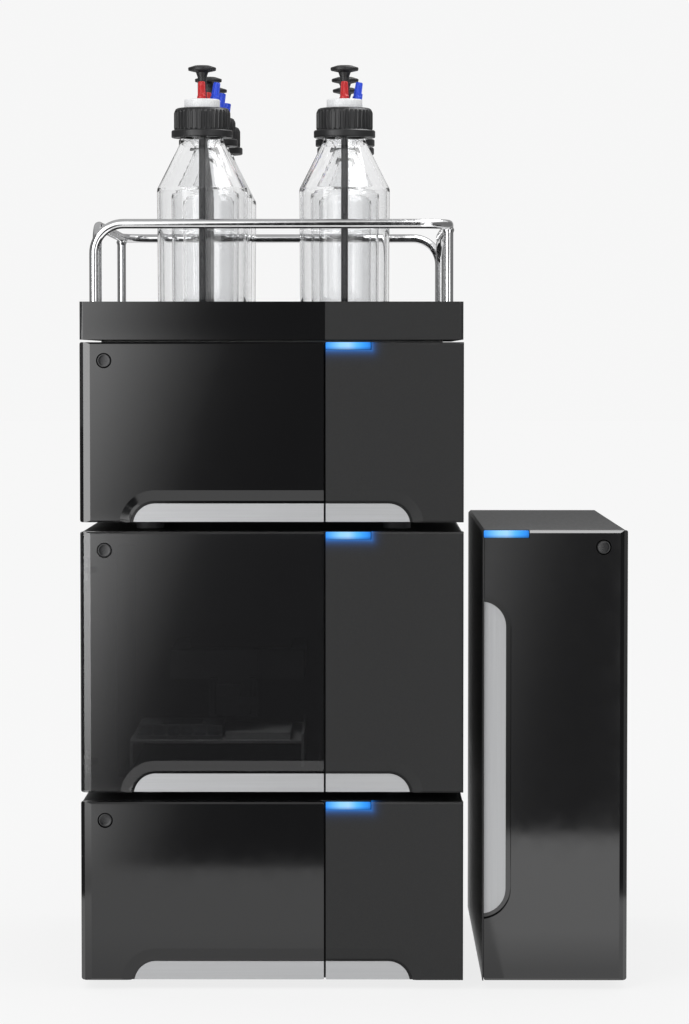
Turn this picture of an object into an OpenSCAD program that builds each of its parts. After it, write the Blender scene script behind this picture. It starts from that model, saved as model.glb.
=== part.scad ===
// Liquid chromatography system. Three instrument modules (pump, sampler and
// detector) stand in a stack under a solvent tray with six bottles, and a
// tall column oven stands free beside them. X runs right, Y runs back and Z
// runs up. The origin is on the floor under the middle of the whole set.

/* [Cabinets] */
// Width of the three stacked modules
stack_w = 380; // [370:1:420]
// Depth of every cabinet, door skin to rear rim
cabinet_d = 452; // [440:1:500]
// Height of the pump and detector modules
low_h = 178; // [174:1:200]
// Height of the sampler module
tall_h = 259; // [250:1:300]
// Width of the column oven
oven_w = 144; // [142:1:170]
// Height of the column oven
oven_h = 448; // [430:1:500]
// Gap between the stack and the oven
oven_gap = 19; // [12:1:60]
// Thickness of the folded sheet housings
sheet_t = 1.5; // [1.2:0.1:2]
// Bevel along the top folds of the housings
fold_bevel = 2.5; // [2:0.1:4]
// Depth of the rim that stands out round each rear panel
rear_rim = 3; // [2.6:0.1:5]

/* [Feet] */
// Height of the feet under every cabinet
foot_h = 9.5; // [8:0.5:14]
// Diameter of the feet
foot_d = 28; // [20:1:32]
// Side distance of the feet from the middle of the stack
foot_x = 125; // [100:1:150]
// Side distance of the feet from the middle of the oven
oven_foot_x = 45; // [35:1:50]
// Distance of the front feet behind the door skin
foot_y = 88; // [60:1:120]

/* [Doors] */
// Width of the hinged doors of the stack
door_w = 241.5; // [236:0.5:250]
// Depth of the doors
door_d = 15; // [15:0.5:18]
// Thickness of the front skin of doors and panels
skin_t = 3.5; // [3.2:0.1:4]
// Thickness of the side walls of doors and panels
wall_t = 3; // [2.5:0.1:3.5]
// Gap between a stack door and its fixed panel
split_gap = 2; // [1:0.1:3]
// Free space behind a closed door
door_back_gap = 0.6; // [0.5:0.1:1]
// Radius of the corners of a door front
corner_r = 2; // [1:0.5:4]
// Bevel along the top and bottom front edges of the stack modules
edge_bevel = 1.8; // [0.6:0.1:2.2]
// Bevel along the top and bottom front edges of the oven door
oven_bevel = 2.4; // [0.6:0.1:2.8]
// Width of the dark outer facet of a stack door
facet_w = 4; // [3:0.1:4.5]
// Width of the bright facet beside it on a stack door
shine_w = 6.7; // [5:0.1:8]
// Width of the bright facet of the oven door
oven_shine_w = 4; // [3:0.1:6]
// Width of the fixed post beside the oven door
post_w = 1.2; // [1:0.1:3]
// Gap between the oven door and the fixed post
post_gap = 0.4; // [0.3:0.1:1]

/* [Door hinges] */
// Distance of the hinge axis from the outer edge of a door
hinge_x = 6.5; // [6.5:0.1:6.8]
// Distance of the hinge axis behind the door skin
hinge_y = 8; // [7.8:0.1:8]
// Diameter of the hinge pins
pin_d = 4; // [3.6:0.1:4]
// Length of the hinge pins
pin_l = 22; // [18:1:22]
// Running clearance on the radius of a pin in a door
pin_play = 0.06; // [0.04:0.01:0.1]
// Clearance on the radius of a pin in its fixed eye
eye_fit = 0.02; // [0.02:0.01:0.03]
// Outer radius of the fixed hinge eyes
eye_r = 3.6; // [3.4:0.1:3.6]
// Thickness of the fixed hinge arms
arm_t = 6; // [5:0.5:7]
// Clearance round a hinge arm in its door
arm_play = 0.4; // [0.3:0.1:0.5]
// Height of the lower hinge above the bottom of a door
hinge_low = 30; // [28:1:36]
// Distance of the upper hinge below the top of a door
hinge_drop = 38; // [36:1:44]

/* [Arch trim] */
// Distance of the arch centres from the sides of the stack
arch_x = 74.5; // [70:0.5:80]
// Distance of the arch centres below the edge of the front
arch_drop = 3.3; // [2:0.1:5]
// Radius of the silver arch
arch_r = 21.8; // [20:0.1:24]
// Gap between the silver arch and the lip of its recess
lip_w = 2.8; // [2:0.1:4]
// Width of the soft bevel round the recess
bevel_w = 10.5; // [8:0.5:12]
// Depth of the soft bevel
bevel_d = 3.2; // [2:0.1:3.4]
// Depth of the recess floor
recess_d = 6; // [5.5:0.1:6.5]
// Thickness of the silver trim
trim_t = 2; // [1.5:0.1:2.5]
// Thickness of the wall behind a recess
backing_t = 2.5; // [2:0.1:3]

/* [Oven trim] */
// Width of the silver strip of the oven
strip_w = 23.2; // [18:0.1:24]
// Height of the lower end of the strip above the oven bottom
strip_z = 66.5; // [55:0.5:75]
// Length of the strip
strip_l = 311; // [290:1:315]
// Radius of the ends of the strip
strip_r = 25; // [24:0.5:27]
// Gap between the strip and the lip of its recess
strip_lip = 5; // [3:0.5:6]

/* [Buttons and lights] */
// Diameter of the power buttons
button_d = 13.2; // [11:0.1:14]
// Gap round a button in its door
button_gap = 1; // [0.8:0.1:1.2]
// Distance of a button from the outer edge
button_x = 24.5; // [23.5:0.5:26]
// Distance of a button below the top of a stack module
button_drop = 18.2; // [15:0.1:20]
// Distance of the oven button below the top
oven_button_drop = 16.5; // [14:0.1:18]
// Depth of the dish in a button face
dish_d = 0.8; // [0.3:0.1:1.2]
// Distance of a button face behind the door skin
button_set = 1.4; // [1.2:0.1:2]
// Diameter of a button stem
stem_d = 5; // [4:0.5:6]
// Running clearance on the radius of a button stem
stem_play = 0.08; // [0.05:0.01:0.1]
// Length of a status light
light_l = 45; // [35:1:50]
// Height of a status light
light_h = 7.3; // [5:0.1:9]
// Clearance round a status light
light_gap = 0.25; // [0.2:0.05:0.4]
// Distance of the oven light from the free side
oven_light_x = 1; // [0.5:0.1:2]

/* [Compartments] */
// Distance of a compartment from the outer side of a stack module
bay_x = 36; // [34:1:38]
// Width of the compartments of the stack
bay_w = 200; // [192:1:200]
// Distance of a compartment from the top and bottom of its module
bay_z = 14; // [12:1:16]
// Depth of the pump compartment behind the door skin
pump_bay_d = 200; // [190:1:220]
// Depth of the sampler compartment
sampler_bay_d = 300; // [290:1:310]
// Depth of the detector compartment
detector_bay_d = 120; // [115:1:140]
// Depth of the oven compartment
oven_bay_d = 160; // [150:1:180]
// Wall thickness of the liners
liner_t = 3; // [2.5:0.1:3.5]

/* [Solvent tray] */
// Gap between the detector and the tray body
tray_gap = 2.5; // [2:0.5:6]
// Height of the tray
tray_h = 37.5; // [30:0.5:50]
// Depth of the tray
tray_d = 446; // [430:1:446]
// Distance of the tray sides from the stack sides
tray_inset = 0.5; // [0.5:0.5:3]
// Wall thickness of the tray
tray_t = 3; // [2.5:0.1:4]
// Distance of the tray plinth from its edges
plinth_inset = 20; // [10:1:24]
// Width of the plinth rim
plinth_w = 8; // [6:1:12]
// Radius of the tray corners
tray_r = 4; // [2:0.5:6]

/* [Gallery rails] */
// Diameter of the rail tube
rail_d = 9.5; // [8:0.5:10]
// Wall thickness of the rail tube
rail_t = 1.2; // [1:0.1:1.5]
// Bend radius of the rails on the tube axis
rail_r = 29; // [24:1:34]
// Height of the top rails above the tray base
rail_z = 114.5; // [100:0.5:130]
// Distance of the rails from the tray edges
rail_inset = 13.8; // [13.5:0.1:16]
// Distance between the end posts of the two rails
rail_step = 38; // [34:1:80]
// Height of the post sockets
socket_h = 12; // [8:1:16]
// Clearance on the radius of a post in its socket
socket_fit = 0.1; // [0.05:0.01:0.2]

/* [Bottles] */
// Distance between the two columns of bottles
bottle_dx = 143.5; // [125:0.5:150]
// Free depth of the tray before the front bottles
bottle_front = 39.6; // [32:0.1:46]
// Free depth of the tray behind the rear bottles
bottle_back = 34.2; // [28:0.1:40]
// Diameter of a bottle
bottle_d = 91.4; // [80:0.1:95]
// Height of the straight side of a bottle
bottle_side = 148.7; // [140:0.1:170]
// Height of the sloped shoulder
shoulder_h = 43.9; // [35:0.1:50]
// Diameter of the neck under the cap
neck_d = 47; // [45.5:0.1:48]
// Diameter of the mouth rim inside the cap
rim_d = 43; // [42:0.1:43.4]
// Wall thickness of the glass
glass_t = 2.5; // [2:0.1:3]

/* [Caps] */
// Gap between the shoulder of a bottle and its cap
cap_lift = 7.9; // [5:0.1:12]
// Height of a cap
cap_h = 29.8; // [26:0.1:34]
// Diameter of a cap over its ribs
cap_d = 57; // [55:0.1:58]
// Diameter of the lower flange of a cap
cap_flange_d = 62; // [60:0.1:64]
// Height of the lower flange of a cap
cap_flange_h = 7.4; // [6:0.1:9]
// Thickness of the top of a cap
cap_top_t = 3.5; // [3:0.1:4]
// Number of grip ribs
cap_ribs = 36; // [24:1:40]
// Depth of the grip ribs
rib_depth = 1; // [0.6:0.1:1.2]
// Diameter of the white insert
insert_d = 36; // [34:0.1:37]
// Height of the insert above the cap
insert_rise = 8.9; // [7:0.1:12]
// Running clearance on the radius between a cap and its insert
cap_play = 0.15; // [0.1:0.01:0.2]
// Clearance on the radius between a cap and the mouth rim
rim_play = 0.4; // [0.3:0.1:0.6]

/* [Vent valves and fittings] */
// Diameter of a vent valve stem
valve_stem_d = 9.1; // [8:0.1:10]
// Diameter of a vent valve disc
valve_disc_d = 28.3; // [24:0.1:30]
// Thickness of a vent valve disc
valve_disc_h = 7; // [6:0.1:9]
// Height of a vent valve above its insert
valve_h = 34.3; // [30:0.1:38]
// Height of a line fitting
fitting_h = 17.2; // [14:0.1:20]
// Lower diameter of a line fitting
fitting_d = 9; // [8:0.1:9.5]
// Upper diameter of a line fitting
fitting_top_d = 6.9; // [6:0.1:7.5]
// Distance of the red fitting in front of the stem axis
red_y = 10.4; // [10:0.1:11.5]
// Distance of the blue fitting beside the stem axis
blue_x = 12.6; // [12:0.1:12.6]
// Outward lean of the blue fitting
blue_lean = 9; // [4:1:12]
// Diameter of an intake tube
tube_d = 7; // [5:0.1:8]
// Clearance on the radius of an intake tube in its insert
tube_fit = 0.1; // [0.05:0.01:0.2]
// Height of an intake tube end above the bottle floor
tube_lift = 6; // [4:1:12]

/* [Sampler fittings] */
// Width of the sample deck
deck_w = 178; // [174:1:182]
// Depth of the sample deck
deck_d = 180; // [150:1:190]
// Thickness of the deck plate
deck_t = 3; // [2:0.5:4]
// Height of the sample deck above the compartment floor
deck_z = 24; // [22:1:30]
// Height of the upstand at the right of the deck
upstand_h = 10; // [6:1:14]
// Width of the vial rack
rack_w = 86.5; // [84:0.5:90]
// Depth of the vial rack
rack_d = 112; // [100:1:125]
// Height of the vial rack
rack_h = 13; // [12:0.5:16]
// Depth of the low shelves at the ends of the rack
shelf_d = 20; // [18:1:24]
// Height of the shelves
shelf_h = 4; // [3:0.5:6]
// Width of the trough across the rack
trough_w = 43; // [36:1:50]
// Depth of the trough below the top of the rack
trough_d = 9; // [6:1:10]
// Number of vials in a row
vial_count = 6; // [4:1:6]
// Distance between vials
vial_pitch = 13.8; // [13:0.1:14]
// Diameter of a vial
vial_d = 11.6; // [10:0.1:12]
// Height of a vial without its cap
vial_h = 7.5; // [7:0.1:8]
// Depth of a vial's seat
vial_sink = 2; // [1:0.1:2.5]
// Clearance on the radius of a vial in its seat
vial_fit = 0.15; // [0.1:0.01:0.25]
// Length of the gantry beam
beam_l = 139; // [137:1:148]
// Distance of the beam from the side of the compartment
beam_inset = 45; // [44:1:46]
// Depth and height of the gantry beam
beam_t = 30; // [24:1:34]
// Height of the gantry beam above the compartment floor
beam_z = 85; // [84:1:100]
// Running clearance of the needle slides
slide_play = 0.3; // [0.25:0.05:0.5]
// Width of the needle carriage plate
carriage_w = 50; // [46:1:52]
// Thickness of the carriage plate
carriage_t = 13; // [10:1:14]
// Height of the carriage plate
carriage_h = 69; // [64:1:74]
// Diameter of the carriage columns
column_rod_d = 5; // [4:0.5:6]
// Width of the needle head
head_w = 24; // [20:1:28]
// Thickness of the needle head
head_t = 15; // [12:1:16]
// Height of the needle head
head_h = 30; // [26:1:34]
// Diameter of the needle
needle_d = 1.8; // [1.4:0.1:2.4]
// Length of the needle below its arm
needle_l = 14; // [10:1:15]

/* [Pump, detector and oven fittings] */
// Height of the pump head axes above the compartment floor
pump_head_rise = 82; // [80:1:84]
// Distance between the two pump heads
head_pitch = 84; // [76:1:90]
// Diameter of the pump head bodies
pump_head_d = 52; // [44:1:56]
// Diameter of the purge knob
knob_d = 28; // [24:1:30]
// Diameter of the purge knob stem
knob_stem_d = 8; // [6:0.5:9]
// Running clearance on the radius of the purge stem
knob_play = 0.08; // [0.05:0.01:0.1]
// Width of the detector cell
cell_w = 92; // [80:1:100]
// Depth of the detector cell
cell_d = 60; // [50:1:70]
// Height of the detector cell
cell_h = 58; // [50:1:66]
// Height of the lower column ends above the compartment floor
column_rise = 74; // [70:1:78]
// Diameter of a separation column
column_d = 12; // [10:0.5:13]
// Length of a separation column
column_l = 250; // [230:1:260]
// Distance between the two separation columns
column_pitch = 44; // [40:1:46]
// Clearance on the radius of a column in its clip
clip_fit = 0.1; // [0.05:0.01:0.15]

/* [Hidden] */

// Finishes
gloss_black = "#17181a";
satin_black = "#2c2d2f";
sheet_grey = "#3a3b3e";
liner_grey = "#55585c";
silver = "#b4b7ba";
steel = "#c9ccd0";
smoke = [0.1, 0.11, 0.12, 0.85];
clear_glass = [0.86, 0.9, 0.92, 0.4];

// Overlap that a cutting tool runs past a face
cut = 1;
// Facets of the round shapes
$fn = 96;

// Places of the cabinets
total_w = stack_w + oven_gap + oven_w;
stack_x = -total_w / 2;
oven_x = stack_x + stack_w + oven_gap;
front_y = -cabinet_d / 2;
pump_z = foot_h;
sampler_z = pump_z + low_h + foot_h;
detector_z = sampler_z + tall_h + foot_h;
tray_z = detector_z + low_h + tray_gap;
floor_z = tray_z + tray_t;

// Planes behind the door skins
liner_y = door_d + door_back_gap;
housing_y = liner_y + liner_t;
rear_y = cabinet_d - rear_rim;
inner_bevel = fold_bevel - sheet_t * (2 - sqrt(2));

// Doors and their hinges
oven_door_w = oven_w - post_w - post_gap;
oven_light = oven_w - oven_light_x - light_l;
facet_side = 8;
facet_mid = 2.4;
rear_reach = sqrt(pow(door_d - hinge_y, 2) - pow(hinge_x, 2));
hinge_block = 13;
boss_l = pin_l + 2;
arm_half = 2.4;
arm_l = 12;
arm_start = 2.5;
arm_angle = 45;
door_travel = 105;
function hinge_heights(h) = [hinge_low, h - hinge_drop];

// Recesses in the fronts
arch_lip = arch_r + lip_w;
trim_y = recess_d - trim_t;
strip_out = strip_r - strip_w;
notch_l = light_l + light_gap;
notch_h = light_h + light_gap;
light_y = 0.4;
post_h = oven_h - notch_h;

// Compartments
function bay_h(h) = h - 2 * bay_z;
oven_bay_x = 14;
oven_bay_w = oven_w - 2 * oven_bay_x - post_w;
oven_bay_top = 36;
oven_bay_h = oven_h - bay_z - oven_bay_top;
bay_mid = bay_x + bay_w / 2;

// Rear fittings
vent_count = 14;
vent_pitch = 9;
vent_size = [4, 60];
vent_x = 34;
vent_z = 52;
inlet_w = 47;
inlet_h = 27;
inlet_x = 62;
inlet_z = 20;
inlet_rim = 2.5;
inlet_flange = 3;
inlet_fit = 0.3;
inlet_depth = 22;
socket_size = [32, 20];
blade_size = [2, 12, 5];
blade_pitch = 9;
supply_size = [74, 90, 55];
supply_x = 29;
supply_y = 130;

// Bottles and what stands on them
bottle_rows = 3;
bottle_y = bottle_front + bottle_d / 2;
bottle_dy = (tray_d - bottle_y - bottle_back - bottle_d / 2) / (bottle_rows - 1);
bottle_base_r = bottle_d / 2 - 4;
cap_z = bottle_side + shoulder_h + cap_lift;
cap_top = cap_z + cap_h;
insert_flange_t = 2;
mouth_z = cap_top - cap_top_t - insert_flange_t;
mouth_r = rim_d / 2 - glass_t;
rim_step = 4;
heel_h = 5;
floor_t = 3.5;
insert_top = cap_top + insert_rise;
plug_l = 12;
plug_fit = 0.5;
tube_wall = 1.5;
tube_stop = 3;

// Rails, measured in the frame of the tray
rail_left = tray_inset + rail_inset;
rail_right = stack_w - tray_inset - rail_inset;
rail_front = rail_inset;
rail_back = tray_d - rail_inset;

// Sampler fittings, measured in the frame of the sampler
deck_x = bay_x + 6.5;
deck_y = 96;
deck_top = bay_z + deck_z;
rack_x = deck_x + 7;
rack_y = deck_y + 10;
tray_pad_size = [66, 110, 7];
tray_pad_gap = 4;
beam_x = bay_x + beam_inset;
beam_y = 150;
bracket_w = 14;
carriage_drop = 37;
carriage_x = beam_x + (beam_l - carriage_w) / 2 - 3.5;
carriage_y = beam_y - slide_play - carriage_t;
carriage_z = bay_z + beam_z - carriage_drop;
head_x = carriage_x + 9;
head_y = carriage_y - slide_play - head_t;
head_z = carriage_z + 4;
arm_size = [42, 4, 8];
arm_rise = 10;

// Pump and oven fittings, measured in the frames of their cabinets
purge_block = 30;
purge_z = bay_z + 24;
stem_bore = 16;
pump_head_z = bay_z + pump_head_rise;
pump_head_l = 72;
nose_l = 24;
nose_step = 7;
valve_nut_d = 16;
valve_nut_l = 18;
cell_z = bay_z + 34;
cell_handle = [50, 16, 8];
cell_handle_z = 38;
cell_port_x = 26;
cell_port_z = 16;
column_y = 84;
column_z = bay_z + column_rise;
block_t = 26;
block_margin = 40;
oven_vents = 7;

// ---------- Plain shapes ----------

// Runs a flat shape, drawn with X across and Y up, from the front backwards
module run_back(depth) {
    translate([0, depth, 0]) rotate([90, 0, 0]) linear_extrude(depth) children();
}

// Runs a flat shape, drawn with X back and Y up, from left to right
module run_right(length) {
    rotate([90, 0, 90]) linear_extrude(length) children();
}

// Round bar that starts at the front and runs backwards
module bar_back(r, depth) {
    rotate([-90, 0, 0]) cylinder(r = r, h = depth);
}

// Block centred across and in height, between two depths
module middle_block(w, y0, y1, h) {
    translate([-w / 2, y0, -h / 2]) cube([w, y1 - y0, h]);
}

// Rectangle with round corners
module round_rect(w, h, r) {
    translate([r, 0]) square([w - 2 * r, h]);
    translate([0, r]) square([w, h - 2 * r]);
    for (x = [r, w - r], y = [r, h - r]) translate([x, y]) circle(r);
}

// ---------- Frames of the cabinets ----------

// Frame of a stack module: left side, door skin and bottom at zero
module at_stack(z) {
    translate([stack_x, front_y, z]) children();
}

// Frame of the oven, mirrored so that its hinge side is at zero
module at_oven() {
    translate([oven_x + oven_w, front_y, foot_h]) mirror([1, 0, 0]) children();
}

// ---------- Housings ----------

// Section of a housing with bevelled top folds
module cover_section(w, h, bevel) {
    polygon([[0, 0], [w, 0], [w, h - bevel], [w - bevel, h], [bevel, h], [0, h - bevel]]);
}

// Folded sheet housing with a set-in rear panel, vents and an inlet cut-out
module housing(w, h, vents) {
    inner_w = w - 2 * sheet_t;
    inner_h = h - 2 * sheet_t;
    difference() {
        translate([0, housing_y, 0]) run_back(cabinet_d - housing_y) cover_section(w, h, fold_bevel);
        translate([sheet_t, housing_y - cut, sheet_t])
            run_back(rear_y - sheet_t - housing_y + cut) cover_section(inner_w, inner_h, inner_bevel);
        translate([sheet_t, rear_y, sheet_t])
            run_back(rear_rim + cut) cover_section(inner_w, inner_h, inner_bevel);
        for (i = [0:vents - 1])
            translate([w - vent_x - i * vent_pitch - vent_size[0], rear_y - sheet_t - cut, vent_z])
                cube([vent_size[0], sheet_t + 2 * cut, vent_size[1]]);
        translate([inlet_x - inlet_w / 2, rear_y - sheet_t - cut, inlet_z])
            cube([inlet_w, sheet_t + 2 * cut, inlet_h]);
    }
}

// ---------- Liners: front frame, compartment, hinge arms and button guide ----------

module hinge_arm() {
    translate([hinge_x, hinge_y, -arm_t / 2]) {
        cylinder(r = eye_r, h = arm_t);
        rotate([0, 0, arm_angle]) translate([arm_start, -arm_half, 0])
            cube([arm_l - arm_start, 2 * arm_half, arm_t]);
    }
}

module liner(w, h, bay_pos, bay_size, button_z) {
    guide_l = 8;
    difference() {
        union() {
            translate([0, liner_y, 0]) run_back(liner_t) cover_section(w, h, fold_bevel);
            translate([bay_pos[0] - liner_t, liner_y, bay_pos[1] - liner_t])
                cube([bay_size[0] + 2 * liner_t, bay_size[1] - liner_y, bay_size[2] + 2 * liner_t]);
            translate([button_x, liner_y + liner_t / 2, button_z]) bar_back(stem_d, guide_l - liner_t / 2);
            for (z = hinge_heights(h)) translate([0, 0, z]) hinge_arm();
        }
        translate([bay_pos[0], liner_y - cut, bay_pos[1]])
            cube([bay_size[0], bay_size[1] - liner_t - liner_y + cut, bay_size[2]]);
        translate([button_x, liner_y - cut, button_z])
            bar_back(stem_d / 2 + stem_play, guide_l + 2 * cut);
        for (z = hinge_heights(h))
            translate([hinge_x, hinge_y, z - arm_t / 2 - cut])
                cylinder(r = pin_d / 2 + eye_fit, h = arm_t + 2 * cut);
    }
}

module stack_liner(h, bay_d) {
    liner(stack_w, h, [bay_x, bay_z], [bay_w, bay_d, bay_h(h)], h - button_drop);
}

// ---------- Recesses in the fronts ----------

// Flat outline of the bridge-shaped arch
module arch_outline(r) {
    translate([arch_x, -arch_drop - r]) square([stack_w - 2 * arch_x, 2 * r]);
    for (x = [arch_x, stack_w - arch_x]) translate([x, -arch_drop]) circle(r);
}

// Recess with a soft bevel, cut into the lower edge of a front
module arch_recess() {
    over = 0.2;
    reach = arch_lip + bevel_w * (1 + over / bevel_d);
    translate([0, -cut, 0]) run_back(recess_d + cut) arch_outline(arch_lip);
    for (x = [arch_x, stack_w - arch_x])
        translate([x, -over, -arch_drop]) rotate([-90, 0, 0])
            cylinder(r1 = reach, r2 = arch_lip, h = bevel_d + over);
    translate([arch_x, 0, -arch_drop]) run_right(stack_w - 2 * arch_x)
        polygon([[-over, -reach], [-over, reach], [bevel_d, arch_lip], [bevel_d, -arch_lip]]);
}

// Wall that carries the recess inside a front
module arch_backing() {
    run_back(recess_d + backing_t) arch_outline(arch_lip + bevel_w);
}

// Silver arch between two X positions
module arch_trim(x0, x1) {
    foot_gap = 0.4;
    intersection() {
        translate([0, trim_y, 0]) run_back(trim_t) arch_outline(arch_r);
        translate([x0, 0, foot_gap]) cube([x1 - x0, door_d, arch_r]);
    }
}

// Flat outline of the upright strip on the free side of the oven
module strip_outline(grow) {
    r = strip_r + grow;
    x = oven_w + strip_out;
    ends = [strip_z + strip_r, strip_z + strip_l - strip_r];
    translate([x - r, ends[0]]) square([r, ends[1] - ends[0]]);
    for (z = ends) translate([x, z]) circle(r);
}

module strip_recess() {
    translate([0, -cut, 0]) run_back(recess_d + cut) strip_outline(strip_lip);
}

module strip_backing() {
    run_back(recess_d + backing_t) strip_outline(strip_lip + backing_t);
}

// ---------- Doors ----------

// Side view of a front with bevelled top and bottom edges
module front_section(h, depth, bevel) {
    polygon([[bevel, 0], [depth, 0], [depth, h], [bevel, h], [0, h - bevel], [0, bevel]]);
}

// Solid door with facets down its outer edge
module door_blank(w, h, shine, bevel) {
    intersection() {
        linear_extrude(h) polygon([
            [0, facet_side], [facet_w, facet_mid], [facet_w + shine, 0], [w, 0],
            [w, door_d], [hinge_x, door_d], [0, hinge_y + rear_reach]
        ]);
        run_back(door_d) round_rect(w, h, corner_r);
        run_right(w) front_section(h, door_d, bevel);
    }
}

// Space inside a door, open to the back
module door_cavity(w, h) {
    translate([hinge_block, skin_t, wall_t])
        cube([w - wall_t - hinge_block, door_d, h - 2 * wall_t]);
    translate([wall_t + 1, hinge_y, wall_t])
        cube([hinge_block - wall_t, door_d, h - 2 * wall_t]);
}

module hinge_bosses(h) {
    for (z = hinge_heights(h))
        translate([0, 0, z - boss_l / 2]) cube([hinge_block + wall_t, door_d + cut, boss_l]);
}

// Sweep of a hinge arm through a door, from shut to wide open
module arm_notch() {
    reach = 20;
    half = arm_half + arm_play;
    start = arm_angle;
    end = arm_angle + door_travel;
    side_a = half * [sin(start), -cos(start)];
    side_b = half * [-sin(end), cos(end)];
    translate([hinge_x, hinge_y, -arm_t / 2 - arm_play]) linear_extrude(arm_t + 2 * arm_play) {
        circle(eye_r + arm_play);
        polygon([
            side_a, side_a + reach * [cos(start), sin(start)], [-reach, reach],
            [-reach, side_b[1] + reach * sin(end)],
            side_b + reach * [cos(end), sin(end)], side_b
        ]);
    }
}

// Door: child 0 is the wall behind its recess and child 1 the recess itself
module door(w, h, shine, bevel, button_z) {
    difference() {
        door_blank(w, h, shine, bevel);
        difference() {
            door_cavity(w, h);
            hinge_bosses(h);
            children(0);
        }
        children(1);
        translate([button_x, -cut, button_z]) bar_back(button_d / 2 + button_gap, door_d);
        for (z = hinge_heights(h)) translate([0, 0, z]) {
            arm_notch();
            translate([hinge_x, hinge_y, -pin_l / 2])
                cylinder(r = pin_d / 2 + pin_play, h = pin_l + cut);
        }
    }
}

module stack_door(h) {
    door(door_w, h, shine_w, edge_bevel, h - button_drop) {
        arch_backing();
        arch_recess();
    }
}

// Notch for the status light at the free top corner of the oven door
module oven_notch() {
    translate([oven_light - light_gap, -cut, oven_h - notch_h])
        cube([notch_l + cut, door_d + 2 * cut, notch_h + cut]);
}

// ---------- Fixed panels of the stack ----------

module fixed_panel(h) {
    x0 = door_w + split_gap;
    w = stack_w - x0;
    side_bevel = 1.5;
    difference() {
        intersection() {
            linear_extrude(h) polygon([
                [x0, 0], [stack_w - side_bevel, 0], [stack_w, side_bevel],
                [stack_w, liner_y], [x0, liner_y]
            ]);
            run_right(stack_w) front_section(h, liner_y, edge_bevel);
        }
        difference() {
            translate([x0 + wall_t, skin_t, wall_t])
                cube([w - 2 * wall_t, door_d, h - 2 * wall_t]);
            arch_backing();
        }
        arch_recess();
        translate([x0 - cut, -cut, h - notch_h])
            cube([notch_l + cut, liner_y + 2 * cut, notch_h + cut]);
    }
}

// ---------- Buttons, lights and feet ----------

// Dished button on a round stem
module power_button() {
    head_l = 6.6;
    stem_l = 18;
    dish_r = (pow(button_d / 2 - 1, 2) + pow(dish_d, 2)) / (2 * dish_d);
    difference() {
        union() {
            bar_back(button_d / 2, head_l);
            translate([0, head_l, 0]) bar_back(stem_d / 2, stem_l);
        }
        translate([0, dish_d - dish_r, 0]) sphere(dish_r);
    }
}

module button_at(button_z) {
    translate([button_x, button_set, button_z]) power_button();
}

module light_bar(x, h) {
    translate([x, light_y, h - light_h]) cube([light_l, liner_y - light_y, light_h]);
}

module foot(x, y) {
    translate([x, y, -foot_h]) cylinder(d = foot_d, h = foot_h);
}

module feet_under(mid, spread) {
    for (x = [mid - spread, mid + spread], y = [foot_y, cabinet_d - foot_y]) foot(x, y);
}

// Mains inlet with three blades, set in from the back
module power_inlet() {
    back_t = 3;
    blade_y = back_t - 1 - inlet_depth;
    translate([inlet_x, rear_y, inlet_z + inlet_h / 2]) {
        difference() {
            union() {
                middle_block(inlet_w + 2 * inlet_flange, 0, inlet_rim, inlet_h + 2 * inlet_flange);
                middle_block(inlet_w - 2 * inlet_fit, -inlet_depth, 0, inlet_h - 2 * inlet_fit);
            }
            middle_block(socket_size[0], back_t - inlet_depth, inlet_rim + cut, socket_size[1]);
        }
        for (i = [-1:1]) translate([i * blade_pitch, 0, 0])
            middle_block(blade_size[0], blade_y, blade_y + blade_size[1], blade_size[2]);
    }
}

module power_supply() {
    translate([supply_x, rear_y - supply_y, sheet_t]) cube(supply_size);
}

module pins_at(h) {
    for (z = hinge_heights(h))
        translate([hinge_x, hinge_y, z - pin_l / 2]) cylinder(d = pin_d, h = pin_l);
}

// ---------- Solvent tray and rails ----------

module tray_post_places() {
    places = [
        [rail_left, rail_front], [rail_right, rail_front + rail_r],
        [rail_right, rail_back - rail_step], [rail_left, rail_front + rail_step],
        [rail_left, rail_back - rail_r], [rail_right, rail_back]
    ];
    for (p = places) translate(p) children();
}

module tray_block(inset, z0, z1, r) {
    translate([tray_inset + inset, inset, z0]) linear_extrude(z1 - z0)
        round_rect(stack_w - 2 * (tray_inset + inset), tray_d - 2 * inset, r);
}

module tray() {
    difference() {
        union() {
            difference() {
                tray_block(0, 0, tray_h, tray_r);
                tray_block(tray_t, tray_t, tray_h + cut, tray_r - 1);
            }
            difference() {
                tray_block(plinth_inset, -tray_gap, tray_t / 2, tray_r);
                tray_block(plinth_inset + plinth_w, -tray_gap - cut, 0, tray_r);
            }
            tray_post_places() cylinder(r = rail_d / 2 + tray_t, h = socket_h);
        }
        tray_post_places() translate([0, 0, tray_t]) cylinder(r = rail_d / 2 + socket_fit, h = socket_h);
    }
}

// Quarter bend about the origin, from +X towards +Y after a turn
module quarter(r, turn) {
    rotate([0, 0, turn]) rotate_extrude(angle = 90) translate([rail_r, 0]) circle(r);
}

// Quarter bend stood up to face the front, or to face the right
module quarter_front(r, turn) {
    rotate([90, 0, 0]) quarter(r, turn);
}

module quarter_side(r, turn) {
    rotate([90, 0, 90]) quarter(r, turn);
}

module bar_right(r, length) {
    rotate([0, 90, 0]) cylinder(r = r, h = length);
}

// Post from the tray floor, or from just below it, up to a height
module post(x, y, r, below, top) {
    translate([x, y, tray_t - below]) cylinder(r = r, h = top - tray_t + below);
}

// Top of a post welded under a rail, or of the bore in it
function weld_top(below) = below > 0 ? rail_z - rail_d : rail_z;

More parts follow.
